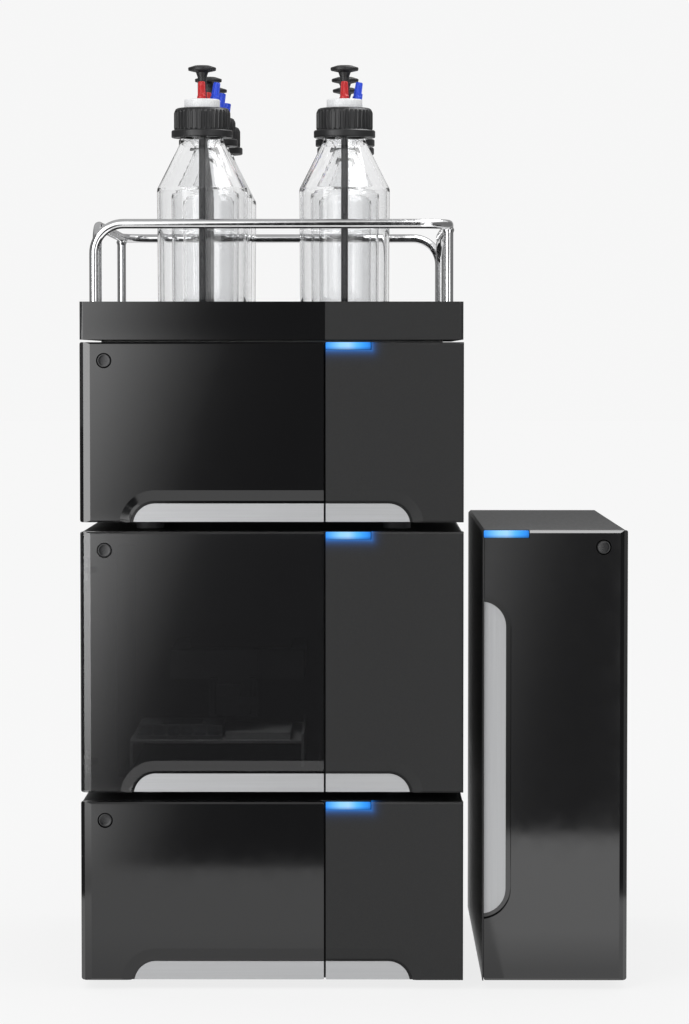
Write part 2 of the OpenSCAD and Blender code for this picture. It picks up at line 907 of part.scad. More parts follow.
// Rises at the front left, then follows the front and the right side
module front_run(r, below) {
    low = rail_z - rail_r;
    turn_y = rail_back - rail_step;
    post(rail_left, rail_front, r, below, low);
    translate([rail_left + rail_r, rail_front, low]) quarter_front(r, 90);
    translate([rail_left + rail_r, rail_front, rail_z]) bar_right(r, rail_right - rail_left - 2 * rail_r);
    translate([rail_right - rail_r, rail_front + rail_r, rail_z]) quarter(r, -90);
    translate([rail_right, rail_front + rail_r, rail_z]) bar_back(r, turn_y - rail_front - 2 * rail_r);
    translate([rail_right, turn_y - rail_r, low]) quarter_side(r, 0);
    post(rail_right, turn_y, r, below, low);
    post(rail_right, rail_front + rail_r, r, below, weld_top(below));
}

// Rises behind it on the left, then follows the left side and the back
module rear_run(r, below) {
    low = rail_z - rail_r;
    turn_y = rail_front + rail_step;
    post(rail_left, turn_y, r, below, low);
    translate([rail_left, turn_y + rail_r, low]) quarter_side(r, 90);
    translate([rail_left, turn_y + rail_r, rail_z]) bar_back(r, rail_back - turn_y - 2 * rail_r);
    translate([rail_left + rail_r, rail_back - rail_r, rail_z]) quarter(r, 90);
    translate([rail_left + rail_r, rail_back, rail_z]) bar_right(r, rail_right - rail_left - 2 * rail_r);
    translate([rail_right - rail_r, rail_back, low]) quarter_front(r, 0);
    post(rail_right, rail_back, r, below, low);
    post(rail_left, rail_back - rail_r, r, below, weld_top(below));
}

// ---------- Bottles, caps and fittings ----------

function bottle_place(i) = [
    stack_w / 2 + (i % 2 - 0.5) * bottle_dx,
    bottle_y + floor(i / 2) * bottle_dy
];

// Frame of bottle number i, its base at zero
module at_bottle(i) {
    translate([stack_x + bottle_place(i)[0], front_y + bottle_place(i)[1], floor_z]) children();
}

module at_all_bottles() {
    for (i = [0:2 * bottle_rows - 1]) at_bottle(i) children();
}

// Blown bottle: half section with a rounded heel, a sloped shoulder and a plain neck
module bottle() {
    r = bottle_d / 2;
    shoulder_z = bottle_side + shoulder_h;
    inner = r - glass_t;
    inner_slope = glass_t / 2;
    rotate_extrude() polygon([
        [0, 0], [bottle_base_r, 0], [r, heel_h], [r, bottle_side],
        [neck_d / 2, shoulder_z], [rim_d / 2, shoulder_z + rim_step], [rim_d / 2, mouth_z],
        [mouth_r, mouth_z], [mouth_r, shoulder_z], [inner, bottle_side - inner_slope],
        [inner, floor_t + heel_h], [bottle_base_r - glass_t, floor_t], [0, floor_t]
    ]);
}

// Flat outline of the ribbed grip
module grip_outline() {
    rib_w = 2.2;
    circle(cap_d / 2 - rib_depth);
    for (i = [0:cap_ribs - 1]) rotate(i * 360 / cap_ribs)
        translate([cap_d / 2 - rib_depth - cut, -rib_w / 2]) square([rib_depth + cut, rib_w]);
}

module cap() {
    top_bevel = 3;
    grip_r = cap_d / 2 - rib_depth;
    difference() {
        union() {
            cylinder(d = cap_flange_d, h = cap_flange_h);
            linear_extrude(cap_h - top_bevel) grip_outline();
            translate([0, 0, cap_h - top_bevel])
                cylinder(r1 = grip_r, r2 = grip_r - top_bevel / 2, h = top_bevel);
        }
        translate([0, 0, -cut]) cylinder(r = rim_d / 2 + rim_play, h = cap_h - cap_top_t + cut);
        cylinder(r = insert_d / 2 + cap_play, h = cap_h + cut);
    }
}

// Insert that seals the mouth and lets the cap turn round it
module cap_insert() {
    flange_play = 0.1;
    difference() {
        union() {
            translate([0, 0, mouth_z - plug_l]) cylinder(r = mouth_r - plug_fit, h = plug_l);
            translate([0, 0, mouth_z]) cylinder(r = rim_d / 2, h = insert_flange_t - flange_play);
            translate([0, 0, mouth_z]) cylinder(d = insert_d, h = insert_top - mouth_z);
        }
        translate([0, 0, mouth_z - plug_l - cut])
            cylinder(r = tube_d / 2 + tube_fit, h = insert_top - tube_stop - mouth_z + plug_l + cut);
    }
}

// Vent valve: a turned stem under a thick tapered disc
module vent_valve() {
    r = valve_stem_d / 2;
    disc_r = valve_disc_d / 2;
    disc_z = valve_h - valve_disc_h;
    neck = 1;
    under = 2;
    edge_h = 2.6;
    dome = 0.6;
    rotate_extrude() polygon([
        [0, 0], [r, 0], [r, disc_z - neck], [r + neck, disc_z], [disc_r, disc_z + under],
        [disc_r, disc_z + under + edge_h], [disc_r * 0.58, valve_h - dome], [0, valve_h]
    ]);
}

// Tapered line fitting with a collar at its foot
module line_fitting(lean) {
    collar_h = 3;
    cylinder(d = fitting_d, h = collar_h);
    translate([0, 0, collar_h / 2]) rotate([0, lean, 0])
        cylinder(d1 = fitting_d - 1, d2 = fitting_top_d, h = fitting_h - collar_h / 2);
}

module intake_tube() {
    length = insert_top - tube_stop - tube_lift;
    translate([0, 0, tube_lift]) difference() {
        cylinder(d = tube_d, h = length);
        translate([0, 0, -cut]) cylinder(d = tube_d - 2 * tube_wall, h = length + 2 * cut);
    }
}

// ---------- Sampler fittings ----------

module deck() {
    side_t = 3;
    right_x = deck_x + deck_w - side_t;
    pad_x = rack_x + rack_w + tray_pad_gap;
    translate([deck_x, deck_y, deck_top]) cube([deck_w, deck_d, deck_t]);
    for (x = [deck_x, right_x]) translate([x, deck_y, bay_z]) cube([side_t, deck_d, deck_z + side_t]);
    translate([right_x, deck_y, deck_top]) cube([side_t, deck_d, upstand_h]);
    translate([pad_x, rack_y + 2, deck_top + deck_t]) cube(tray_pad_size);
}

// Places of the vials on the two shelves, in the frame of the rack
module vial_places() {
    x0 = (rack_w - (vial_count - 1) * vial_pitch) / 2;
    for (i = [0:vial_count - 1], y = [shelf_d / 2, rack_d - shelf_d / 2])
        translate([x0 + i * vial_pitch, y, shelf_h - vial_sink]) children();
}

module rack() {
    trough_rim = 8;
    body_d = rack_d - 2 * shelf_d;
    difference() {
        union() {
            cube([rack_w, rack_d, shelf_h]);
            translate([0, shelf_d, 0]) cube([rack_w, body_d, rack_h]);
        }
        translate([(rack_w - trough_w) / 2, shelf_d + trough_rim, rack_h - trough_d])
            cube([trough_w, body_d - 2 * trough_rim, trough_d + cut]);
        vial_places() cylinder(r = vial_d / 2 + vial_fit, h = vial_h);
    }
}

// Short vial with a narrower crimp cap
module vial() {
    crimp_d = vial_d - 1.4;
    crimp_h = 2;
    cylinder(d = vial_d, h = vial_h);
    translate([0, 0, vial_h]) cylinder(d = crimp_d, h = crimp_h);
}

module at_rack() {
    at_stack(sampler_z) translate([rack_x, rack_y, deck_top + deck_t]) children();
}

// Beam with two brackets that reach back to the compartment wall
module gantry() {
    reach = sampler_bay_d - liner_t - beam_y - beam_t;
    translate([beam_x, beam_y, bay_z + beam_z]) {
        cube([beam_l, beam_t, beam_t]);
        for (x = [0, beam_l - bracket_w]) translate([x, beam_t, 0]) cube([bracket_w, reach, beam_t]);
    }
}

// Carriage plate with two columns on foot and head brackets
module carriage() {
    bracket = [9, 11, 3];
    rod_y = 4.5 - bracket[1];
    bracket_z = [0, head_h + 7];
    translate([carriage_x, carriage_y, carriage_z]) {
        cube([carriage_w, carriage_t, carriage_h]);
        for (x = [0, carriage_w - bracket[0]]) translate([x, 0, 0]) {
            for (z = bracket_z) translate([0, -bracket[1], z]) cube(bracket);
            translate([bracket[0] / 2, rod_y, 0])
                cylinder(d = column_rod_d, h = bracket_z[1] + bracket[2]);
        }
    }
}

// Needle head with an arm that carries the needle past the right column
module needle_block() {
    needle_x = arm_size[0] - 3.5;
    translate([head_x, head_y, head_z]) {
        cube([head_w, head_t, head_h]);
        translate([0, -arm_size[1], arm_rise]) cube(arm_size);
        translate([needle_x, -arm_size[1] / 2, arm_rise - needle_l])
            cylinder(d = needle_d, h = needle_l + cut);
    }
}

// ---------- Pump, detector and oven fittings ----------

// Two pump heads with check valves, and the block of the purge valve
module pump_head_set() {
    back = pump_bay_d - liner_t;
    nose_r = pump_head_d / 2 - nose_step;
    valve_lap = 3;
    valve_z = [nose_r - valve_lap, valve_lap - nose_r - valve_nut_l];
    for (side = [-1, 1]) translate([bay_mid + side * head_pitch / 2, back, pump_head_z]) {
        translate([0, -pump_head_l, 0]) bar_back(pump_head_d / 2, pump_head_l);
        translate([0, -pump_head_l - nose_l, 0]) bar_back(nose_r, nose_l);
        for (z = valve_z) translate([0, -pump_head_l - nose_l / 2, z])
            cylinder(d = valve_nut_d, h = valve_nut_l, $fn = 6);
    }
    translate([bay_mid, back, purge_z]) difference() {
        middle_block(purge_block, -purge_block, 0, purge_block);
        translate([0, -purge_block - cut, 0]) bar_back(knob_stem_d / 2 + knob_play, stem_bore + cut);
    }
}

// Twelve-sided purge knob on a round stem
module knob() {
    grip_l = 14;
    back = pump_bay_d - liner_t - purge_block;
    translate([bay_mid, back - slide_play, purge_z]) {
        translate([0, -grip_l, 0]) rotate([-90, 0, 0]) cylinder(d = knob_d, h = grip_l, $fn = 12);
        bar_back(knob_stem_d / 2, stem_bore - 1);
    }
}

// Flow cell cartridge with a handle and two line ports
module cell() {
    port_l = 12;
    port_d = 13;
    grip_t = 5;
    leg_w = 6;
    handle_x = (cell_w - cell_handle[0]) / 2;
    translate([bay_mid - cell_w / 2, detector_bay_d - liner_t - cell_d, cell_z]) {
        cube([cell_w, cell_d, cell_h]);
        translate([handle_x, -cell_handle[1], cell_handle_z]) {
            for (x = [0, cell_handle[0] - leg_w]) translate([x, 0, 0])
                cube([leg_w, cell_handle[1], cell_handle[2]]);
            translate([0, -grip_t, 0]) cube([cell_handle[0], grip_t, cell_handle[2]]);
        }
        for (x = [cell_port_x, cell_w - cell_port_x]) translate([x, -port_l, cell_port_z])
            rotate([-90, 0, 0]) cylinder(d = port_d, h = port_l, $fn = 6);
    }
}

// Places of the separation columns across the oven
module column_places() {
    for (side = [-1, 1])
        translate([oven_bay_x + oven_bay_w / 2 + side * column_pitch / 2, column_y, 0]) children();
}

// Heated plate with two snap clips for each column
module heated_block() {
    clip = [20, 18, 14];
    side_gap = 4;
    block_y = oven_bay_d - liner_t - block_t;
    difference() {
        union() {
            translate([oven_bay_x + side_gap, block_y, column_z - block_margin])
                cube([oven_bay_w - 2 * side_gap, block_t, column_l + 2 * block_margin]);
            column_places() for (z = [0.2, 0.8])
                translate([-clip[0] / 2, -clip[1] / 2, column_z + column_l * z - clip[2] / 2])
                    cube([clip[0], block_y - column_y + clip[1] / 2, clip[2]]);
        }
        column_places() {
            translate([0, 0, column_z]) cylinder(r = column_d / 2 + clip_fit, h = column_l);
            translate([-column_d * 0.4, -clip[1], column_z]) cube([column_d * 0.8, clip[1], column_l]);
        }
    }
}

// Separation column with a hexagon nut at each end
module separation_column() {
    nut_l = 16;
    translate([0, 0, column_z]) cylinder(d = column_d, h = column_l);
    for (z = [column_z - nut_l, column_z + column_l]) translate([0, 0, z])
        cylinder(d = column_d * 1.35, h = nut_l, $fn = 6);
}

// ---------- Pump ----------

module pump_housing() { color(sheet_grey) at_stack(pump_z) housing(stack_w, low_h, vent_count); }
module pump_liner() { color(liner_grey) at_stack(pump_z) stack_liner(low_h, pump_bay_d); }
module pump_panel() { color(satin_black) at_stack(pump_z) fixed_panel(low_h); }
module pump_door() { color(gloss_black) at_stack(pump_z) stack_door(low_h); }
module pump_door_trim() { color(silver) at_stack(pump_z) arch_trim(0, door_w); }
module pump_power_button() { color(gloss_black) at_stack(pump_z) button_at(low_h - button_drop); }

// ---------- Sampler ----------

module sampler_housing() { color(sheet_grey) at_stack(sampler_z) housing(stack_w, tall_h, vent_count); }
module sampler_liner() { color(liner_grey) at_stack(sampler_z) stack_liner(tall_h, sampler_bay_d); }
module sampler_panel() { color(satin_black) at_stack(sampler_z) fixed_panel(tall_h); }
module sampler_door() { color(smoke) at_stack(sampler_z) stack_door(tall_h); }
module sampler_door_trim() { color(silver) at_stack(sampler_z) arch_trim(0, door_w); }
module sampler_power_button() { color(gloss_black) at_stack(sampler_z) button_at(tall_h - button_drop); }

// ---------- Detector ----------

module detector_housing() { color(sheet_grey) at_stack(detector_z) housing(stack_w, low_h, vent_count); }
module detector_liner() { color(liner_grey) at_stack(detector_z) stack_liner(low_h, detector_bay_d); }
module detector_panel() { color(satin_black) at_stack(detector_z) fixed_panel(low_h); }
module detector_door() { color(gloss_black) at_stack(detector_z) stack_door(low_h); }
module detector_door_trim() { color(silver) at_stack(detector_z) arch_trim(0, door_w); }
module detector_power_button() { color(gloss_black) at_stack(detector_z) button_at(low_h - button_drop); }

// ---------- Column oven ----------

module oven_housing() { color(sheet_grey) at_oven() housing(oven_w, oven_h, oven_vents); }

// Liner with the fixed post on the free side of the door
module oven_liner() {
    bay_pos = [oven_bay_x, bay_z];
    bay_size = [oven_bay_w, oven_bay_d, oven_bay_h];
    color(liner_grey) at_oven() {
        liner(oven_w, oven_h, bay_pos, bay_size, oven_h - oven_button_drop);
        translate([oven_w - post_w, 0, 0]) cube([post_w, liner_y + liner_t / 2, post_h]);
    }
}

module oven_door() {
    color(gloss_black) at_oven() difference() {
        door(oven_door_w, oven_h, oven_shine_w, oven_bevel, oven_h - oven_button_drop) {
            strip_backing();
            strip_recess();
        }
        oven_notch();
    }
}

module oven_door_trim() {
    color(silver) at_oven() intersection() {
        translate([0, trim_y, 0]) run_back(trim_t) strip_outline(0);
        cube([oven_door_w, door_d, oven_h]);
    }
}

module oven_power_button() { color(gloss_black) at_oven() button_at(oven_h - oven_button_drop); }

// ---------- Pieces shared by the cabinets ----------

module status_lights() {
    light_x = door_w + split_gap;
    color("dodgerblue") {
        at_stack(pump_z) light_bar(light_x, low_h);
        at_stack(sampler_z) light_bar(light_x, tall_h);
        at_stack(detector_z) light_bar(light_x, low_h);
        at_oven() light_bar(oven_light, oven_h);
    }
}

module feet() {
    color("dimgray") {
        for (z = [pump_z, sampler_z, detector_z]) at_stack(z) feet_under(stack_w / 2, foot_x);
        at_oven() feet_under(oven_w / 2, oven_foot_x);
    }
}

module power_inlets() {
    color("black") {
        for (z = [pump_z, sampler_z, detector_z]) at_stack(z) power_inlet();
        at_oven() power_inlet();
    }
}

module power_supplies() {
    color("gray") {
        for (z = [pump_z, sampler_z, detector_z]) at_stack(z) power_supply();
        at_oven() power_supply();
    }
}

module hinge_pins() {
    color(steel) {
        for (z = [pump_z, detector_z]) at_stack(z) pins_at(low_h);
        at_stack(sampler_z) pins_at(tall_h);
        at_oven() pins_at(oven_h);
    }
}

module panel_trims() {
    color(silver) for (z = [pump_z, sampler_z, detector_z])
        at_stack(z) arch_trim(door_w + split_gap, stack_w);
}

// ---------- Solvent tray, bottles and caps ----------

module solvent_tray() { color(satin_black) at_stack(tray_z) tray(); }

module front_rail() {
    color(steel) at_stack(tray_z) difference() {
        front_run(rail_d / 2, 0);
        front_run(rail_d / 2 - rail_t, cut);
    }
}

module rear_rail() {
    color(steel) at_stack(tray_z) difference() {
        rear_run(rail_d / 2, 0);
        rear_run(rail_d / 2 - rail_t, cut);
    }
}

module bottle_at(i) { color(clear_glass) at_bottle(i) bottle(); }
module cap_at(i) { color(gloss_black) at_bottle(i) translate([0, 0, cap_z]) cap(); }

module cap_inserts() { color("white") at_all_bottles() cap_insert(); }

module vent_valves() { color("#26272a") at_all_bottles() translate([0, 0, insert_top]) vent_valve(); }

module red_fittings() {
    color("red") at_all_bottles() translate([0, -red_y, insert_top]) line_fitting(0);
}

module blue_fittings() {
    color("royalblue") at_all_bottles() translate([blue_x, 0, insert_top]) line_fitting(blue_lean);
}

module intake_tubes() { color("#2a2b2d") at_all_bottles() intake_tube(); }

// ---------- Fittings inside the compartments ----------

module sample_deck() { color(silver) at_stack(sampler_z) deck(); }
module vial_rack() { color("gainsboro") at_rack() rack(); }
module vials() { color("lightgray") at_rack() vial_places() vial(); }
module gantry_beam() { color("gray") at_stack(sampler_z) gantry(); }
module needle_carriage() { color("gray") at_stack(sampler_z) carriage(); }
module needle_head() { color("darkgray") at_stack(sampler_z) needle_block(); }
module pump_heads() { color(steel) at_stack(pump_z) pump_head_set(); }
module purge_knob() { color("black") at_stack(pump_z) knob(); }
module detector_cell() { color(silver) at_stack(detector_z) cell(); }
module column_block() { color("darkgray") at_oven() heated_block(); }
module columns() { color(steel) at_oven() column_places() separation_column(); }

pump_housing();
pump_liner();
pump_panel();
pump_door();
pump_door_trim();
pump_power_button();
sampler_housing();
sampler_liner();
sampler_panel();
sampler_door();
sampler_door_trim();
sampler_power_button();
detector_housing();
detector_liner();
detector_panel();
detector_door();
detector_door_trim();
detector_power_button();
oven_housing();
oven_liner();
oven_door();
oven_door_trim();
oven_power_button();
status_lights();
feet();
power_inlets();
power_supplies();
hinge_pins();
panel_trims();
solvent_tray();
front_rail();
rear_rail();
bottle_at(0);  // bottle_1
bottle_at(1);  // bottle_2
bottle_at(2);  // bottle_3
bottle_at(3);  // bottle_4
bottle_at(4);  // bottle_5
bottle_at(5);  // bottle_6
cap_at(0);  // cap_1
cap_at(1);  // cap_2
cap_at(2);  // cap_3
cap_at(3);  // cap_4
cap_at(4);  // cap_5
cap_at(5);  // cap_6
cap_inserts();
vent_valves();
red_fittings();
blue_fittings();
intake_tubes();
sample_deck();
vial_rack();
vials();
gantry_beam();
needle_carriage();
needle_head();
pump_heads();
purge_knob();
detector_cell();
column_block();
columns();
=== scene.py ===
"""Finishes, turned glass, rails, light and camera for the liquid chromatography system."""
import math

import bmesh
import bpy
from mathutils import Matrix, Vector


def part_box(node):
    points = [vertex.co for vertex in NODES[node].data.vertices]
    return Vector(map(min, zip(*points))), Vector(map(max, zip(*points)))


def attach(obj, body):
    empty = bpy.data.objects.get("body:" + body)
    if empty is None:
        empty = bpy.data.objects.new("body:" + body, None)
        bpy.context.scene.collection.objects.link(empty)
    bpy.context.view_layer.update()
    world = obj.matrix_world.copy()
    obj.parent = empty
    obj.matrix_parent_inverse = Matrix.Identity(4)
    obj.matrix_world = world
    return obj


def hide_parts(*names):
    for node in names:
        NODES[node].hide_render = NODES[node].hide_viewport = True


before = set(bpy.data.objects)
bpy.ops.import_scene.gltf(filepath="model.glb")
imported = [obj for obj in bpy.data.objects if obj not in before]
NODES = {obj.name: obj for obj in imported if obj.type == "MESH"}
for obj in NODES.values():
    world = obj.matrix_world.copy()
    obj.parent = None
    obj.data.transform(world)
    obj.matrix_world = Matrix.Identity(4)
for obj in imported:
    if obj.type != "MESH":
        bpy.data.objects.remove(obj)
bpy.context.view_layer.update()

MM = 0.001
ROOT = "cabinets"
STACK = ("pump", "sampler", "detector")
CABINETS = STACK + ("oven",)
PANELS = [m + "_panel" for m in STACK]
LIT = PANELS + ["oven_door"]
FRONT = -0.226  # plane of the doors, in metres

# ---------------------------------------------------------------- materials

# Blue of a status light from its left end to its right end
LIGHT_STOPS = [(0, (0.013, 0.28, 0.95)), (0.13, (0.1, 0.45, 0.98)), (0.33, (0.3, 0.68, 1.0)),
               (0.5, (0.38, 0.7, 1.0)), (0.68, (0.1, 0.5, 1.0)), (0.82, (0.03, 0.35, 0.95)),
               (0.92, (0.01, 0.26, 0.8)), (1, (0.005, 0.15, 0.5))]
LIGHT_SIZE = (45, 7.3)
OVEN_LIGHT_X = 1
SPILL_BLUE = (0.006, 0.16, 0.6, 1)
SPILL_REACH = 0.0026
SPILL_STRENGTH = 0.9
GLOSS = (0.0075, 0.0075, 0.008)
GLOSS_ROUGH = 0.07
SMOKE_CLEAR = 0.42
SATIN = (0.026, 0.0262, 0.0265)
SATIN_ROUGH = 0.42
SATIN_SHINE = 0.15
POLISHED_SHINE = 0.65
# Painted light: pale grey for the bottom edge of the tray, standing for the bright gap under it, and the
# height of that band
PAINTED_GAP_LIGHT = (0.3, 0.3, 0.3, 1)
PAINTED_LIGHT_BAND_HEIGHT = 0.0015


class Finish:
    """A node material round one Principled shader, with helpers for grain and bump."""

    def __init__(self, name, color, rough, metal=0.0, ior=1.5, shine=0.5):
        self.mat = bpy.data.materials.new(name)
        self.mat.use_nodes = True
        self.tree = self.mat.node_tree
        self.shader = self.tree.nodes["Principled BSDF"]
        self.set("Base Color", (*color, 1))
        self.set("Roughness", rough)
        self.set("Metallic", metal)
        self.set("IOR", ior)
        self.set("Specular IOR Level", shine)
        self.coords = None

    def set(self, socket, value):
        self.shader.inputs[socket].default_value = value
        return self

    def node(self, kind, **values):
        made = self.tree.nodes.new(kind)
        for key, value in values.items():
            if hasattr(made, key):
                setattr(made, key, value)
            else:
                made.inputs[key.replace("_", " ").title()].default_value = value
        return made

    def link(self, out, socket):
        self.tree.links.new(out, socket)

    def math(self, operation, a, b=0.0, clamp=False):
        made = self.tree.nodes.new("ShaderNodeMath")
        made.operation = operation
        made.use_clamp = clamp
        for socket, value in zip(made.inputs, (a, b)):
            if isinstance(value, (int, float)):
                socket.default_value = value
            else:
                self.link(value, socket)
        return made.outputs[0]

    def noise(self, scale, stretch=(1, 1, 1), detail=3.0):
        """Noise in the object's own space, in turns per metre."""
        if self.coords is None:
            self.coords = self.node("ShaderNodeTexCoord")
        mapping = self.node("ShaderNodeMapping")
        mapping.inputs["Scale"].default_value = stretch
        self.link(self.coords.outputs["Object"], mapping.inputs["Vector"])
        tex = self.node("ShaderNodeTexNoise")
        tex.inputs["Scale"].default_value = scale
        tex.inputs["Detail"].default_value = detail
        self.link(mapping.outputs[0], tex.inputs["Vector"])
        return tex.outputs["Fac"]

    def spread(self, fac, low, high):
        """The noise value stretched between two numbers."""
        made = self.node("ShaderNodeMapRange")
        made.inputs["From Min"].default_value = 0.3
        made.inputs["From Max"].default_value = 0.7
        made.inputs["To Min"].default_value = low
        made.inputs["To Max"].default_value = high
        self.link(fac, made.inputs["Value"])
        return made.outputs[0]

    def vary_rough(self, fac, low, high):
        self.link(self.spread(fac, low, high), self.shader.inputs["Roughness"])
        return self

    def vary_color(self, fac, dark, light):
        ramp = self.node("ShaderNodeMix")
        ramp.data_type = "RGBA"
        ramp.inputs["A"].default_value = (*dark, 1)
        ramp.inputs["B"].default_value = (*light, 1)
        self.link(self.spread(fac, 0, 1), ramp.inputs["Factor"])
        self.link(ramp.outputs["Result"], self.shader.inputs["Base Color"])
        return self

    def blend(self, socket, mask, value):
        """Changes an input of the shader to another value wherever the mask is one."""
        target = self.shader.inputs[socket]
        mix = self.node("ShaderNodeMix")
        if isinstance(value, tuple):
            mix.data_type = "RGBA"
        if target.links:
            self.link(target.links[0].from_socket, mix.inputs["A"])
        else:
            mix.inputs["A"].default_value = target.default_value
        mix.inputs["B"].default_value = value
        self.link(mask, mix.inputs["Factor"])
        self.link(mix.outputs["Result"], target)
        return self

    def bump(self, fac, strength, depth):
        made = self.node("ShaderNodeBump")
        made.inputs["Strength"].default_value = strength
        made.inputs["Distance"].default_value = depth
        self.link(fac, made.inputs["Height"])
        self.link(made.outputs[0], self.shader.inputs["Normal"])
        return self


def gloss_black(name):
    """Polished black moulding with the faintest ripple."""
    f = Finish(name, GLOSS, GLOSS_ROUGH, ior=1.6)
    f.vary_rough(f.noise(60), 0.055, 0.085)
    return f.bump(f.noise(35, detail=1), 0.03, 0.0004)


def smoked_black(name, clear):
    """The same moulding in smoked plastic, which lets a share of the light through."""
    f = gloss_black(name)
    seen = f.node("ShaderNodeBsdfTransparent")
    seen.inputs["Color"].default_value = (clear, clear, clear, 1)
    both = f.node("ShaderNodeAddShader")
    f.link(f.shader.outputs[0], both.inputs[0])
    f.link(seen.outputs[0], both.inputs[1])
    f.link(both.outputs[0], f.tree.nodes["Material Output"].inputs["Surface"])
    return f


def fine_grain(name, color, rough, grain=1400, strength=0.12, shine=0.5):
    """Moulded or powder-coated surface with an even fine grain."""
    f = Finish(name, color, rough, shine=shine)
    grains = f.noise(grain, detail=2)
    light = tuple(min(1, c * 1.12) for c in color)
    dark = tuple(c * 0.9 for c in color)
    f.vary_color(grains, dark, light)
    f.vary_rough(f.noise(grain / 3), rough - 0.04, rough + 0.04)
    return f.bump(grains, strength, 0.0001)


def brushed(name, color, rough, along, metal=1.0):
    """Metal brushed along one axis, given as the stretch of its noise."""
    f = Finish(name, color, rough, metal=metal)
    lines = f.noise(30, stretch=along, detail=4)
    f.vary_rough(lines, rough - 0.07, rough + 0.07)
    f.vary_color(f.noise(12, stretch=along), tuple(c * 0.93 for c in color), color)
    return f.bump(lines, 0.06, 0.00008)


def clear_glass(name, tint, rough=0.0):
    f = Finish(name, tint, rough, ior=1.47)
    f.set("Transmission Weight", 1.0)
    return f.bump(f.noise(22, detail=1), 0.02, 0.0005)


def light_corner(node):
    """Left and upper edge of the status light in a front."""
    low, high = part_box(node)
    if node == "oven_door":
        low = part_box("oven_housing")[0] + Vector((OVEN_LIGHT_X * MM, 0, 0))
    return low.x, high.z


def status_light():
    """Lit frosted plastic: pale in the middle, deep blue towards both ends, dimmer below."""
    f = Finish("status_light", (0.01, 0.04, 0.2), 0.4, shine=0.2)
    coords = f.node("ShaderNodeTexCoord")
    split = f.node("ShaderNodeSeparateXYZ")
    f.link(coords.outputs["UV"], split.inputs[0])
    ramp = f.node("ShaderNodeValToRGB")
    while len(ramp.color_ramp.elements) < len(LIGHT_STOPS):
        ramp.color_ramp.elements.new(0.5)
    for stop, (at, color) in zip(ramp.color_ramp.elements, LIGHT_STOPS):
        stop.position = at
        stop.color = (*color, 1)
    f.link(split.outputs["X"], ramp.inputs["Fac"])
    f.link(ramp.outputs["Color"], f.shader.inputs["Emission Color"])
    dim = f.node("ShaderNodeMapRange")
    for key, value in (("From Min", 0.0), ("From Max", 0.45), ("To Min", 0.35), ("To Max", 0.97)):
        dim.inputs[key].default_value = value
    f.link(split.outputs["Y"], dim.inputs["Value"])
    f.link(dim.outputs[0], f.shader.inputs["Emission Strength"])
    return f


def lit_by(f, node):
    """Adds the blue spill of a status light, which fades away from the bar's outline."""
    x, top = light_corner(node)
    wide, tall = (size * MM for size in LIGHT_SIZE)
    place = f.node("ShaderNodeSeparateXYZ")
    f.link(f.coords.outputs["Object"], place.inputs[0])
    away = []
    for out, centre, half in (("X", x + wide / 2, wide / 2), ("Z", top - tall / 2, tall / 2)):
        off = f.math("ABSOLUTE", f.math("SUBTRACT", place.outputs[out], centre))
        away.append(f.math("MAXIMUM", f.math("SUBTRACT", off, half), 0.0))
    far = f.math("SQRT", f.math("ADD", *(f.math("MULTIPLY", a, a) for a in away)))
    fade = f.math("EXPONENT", f.math("MULTIPLY", far, -1 / SPILL_REACH))
    f.link(f.math("MULTIPLY", fade, SPILL_STRENGTH), f.shader.inputs["Emission Strength"])
    f.set("Emission Color", SPILL_BLUE)
    return f


def tray_black():
    """The tray's moulding: polished in front over the doors and satin elsewhere, with painted light: a pale
    band along its bottom edge stands for the bright gap beneath it.
    """
    f = fine_grain("tray_black", SATIN, SATIN_ROUGH, shine=SATIN_SHINE)
    low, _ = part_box("solvent_tray")
    edge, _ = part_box("detector_panel")
    place = f.node("ShaderNodeSeparateXYZ")
    f.link(f.coords.outputs["Object"], place.inputs[0])
    front = f.math("LESS_THAN", place.outputs["Y"], low.y + 0.0004)
    left = f.math("LESS_THAN", place.outputs["X"], edge.x - 0.0005)
    polished = f.math("MULTIPLY", front, left)
    # Painted light: the lowest band of the tray is painted pale grey for the bright gap beneath it
    foot = f.math("LESS_THAN", place.outputs["Z"], low.z + PAINTED_LIGHT_BAND_HEIGHT)
    f.blend("Base Color", polished, (*GLOSS, 1))
    f.blend("Base Color", foot, PAINTED_GAP_LIGHT)
    f.blend("Roughness", polished, GLOSS_ROUGH)
    f.blend("Specular IOR Level", polished, POLISHED_SHINE)
    return f


# Stretch of the noise of brushed metal, from the axis that its lines follow
ALONG_X = (0.6, 60, 60)
ALONG_Z = (60, 60, 0.6)
EVEN = (8, 8, 8)


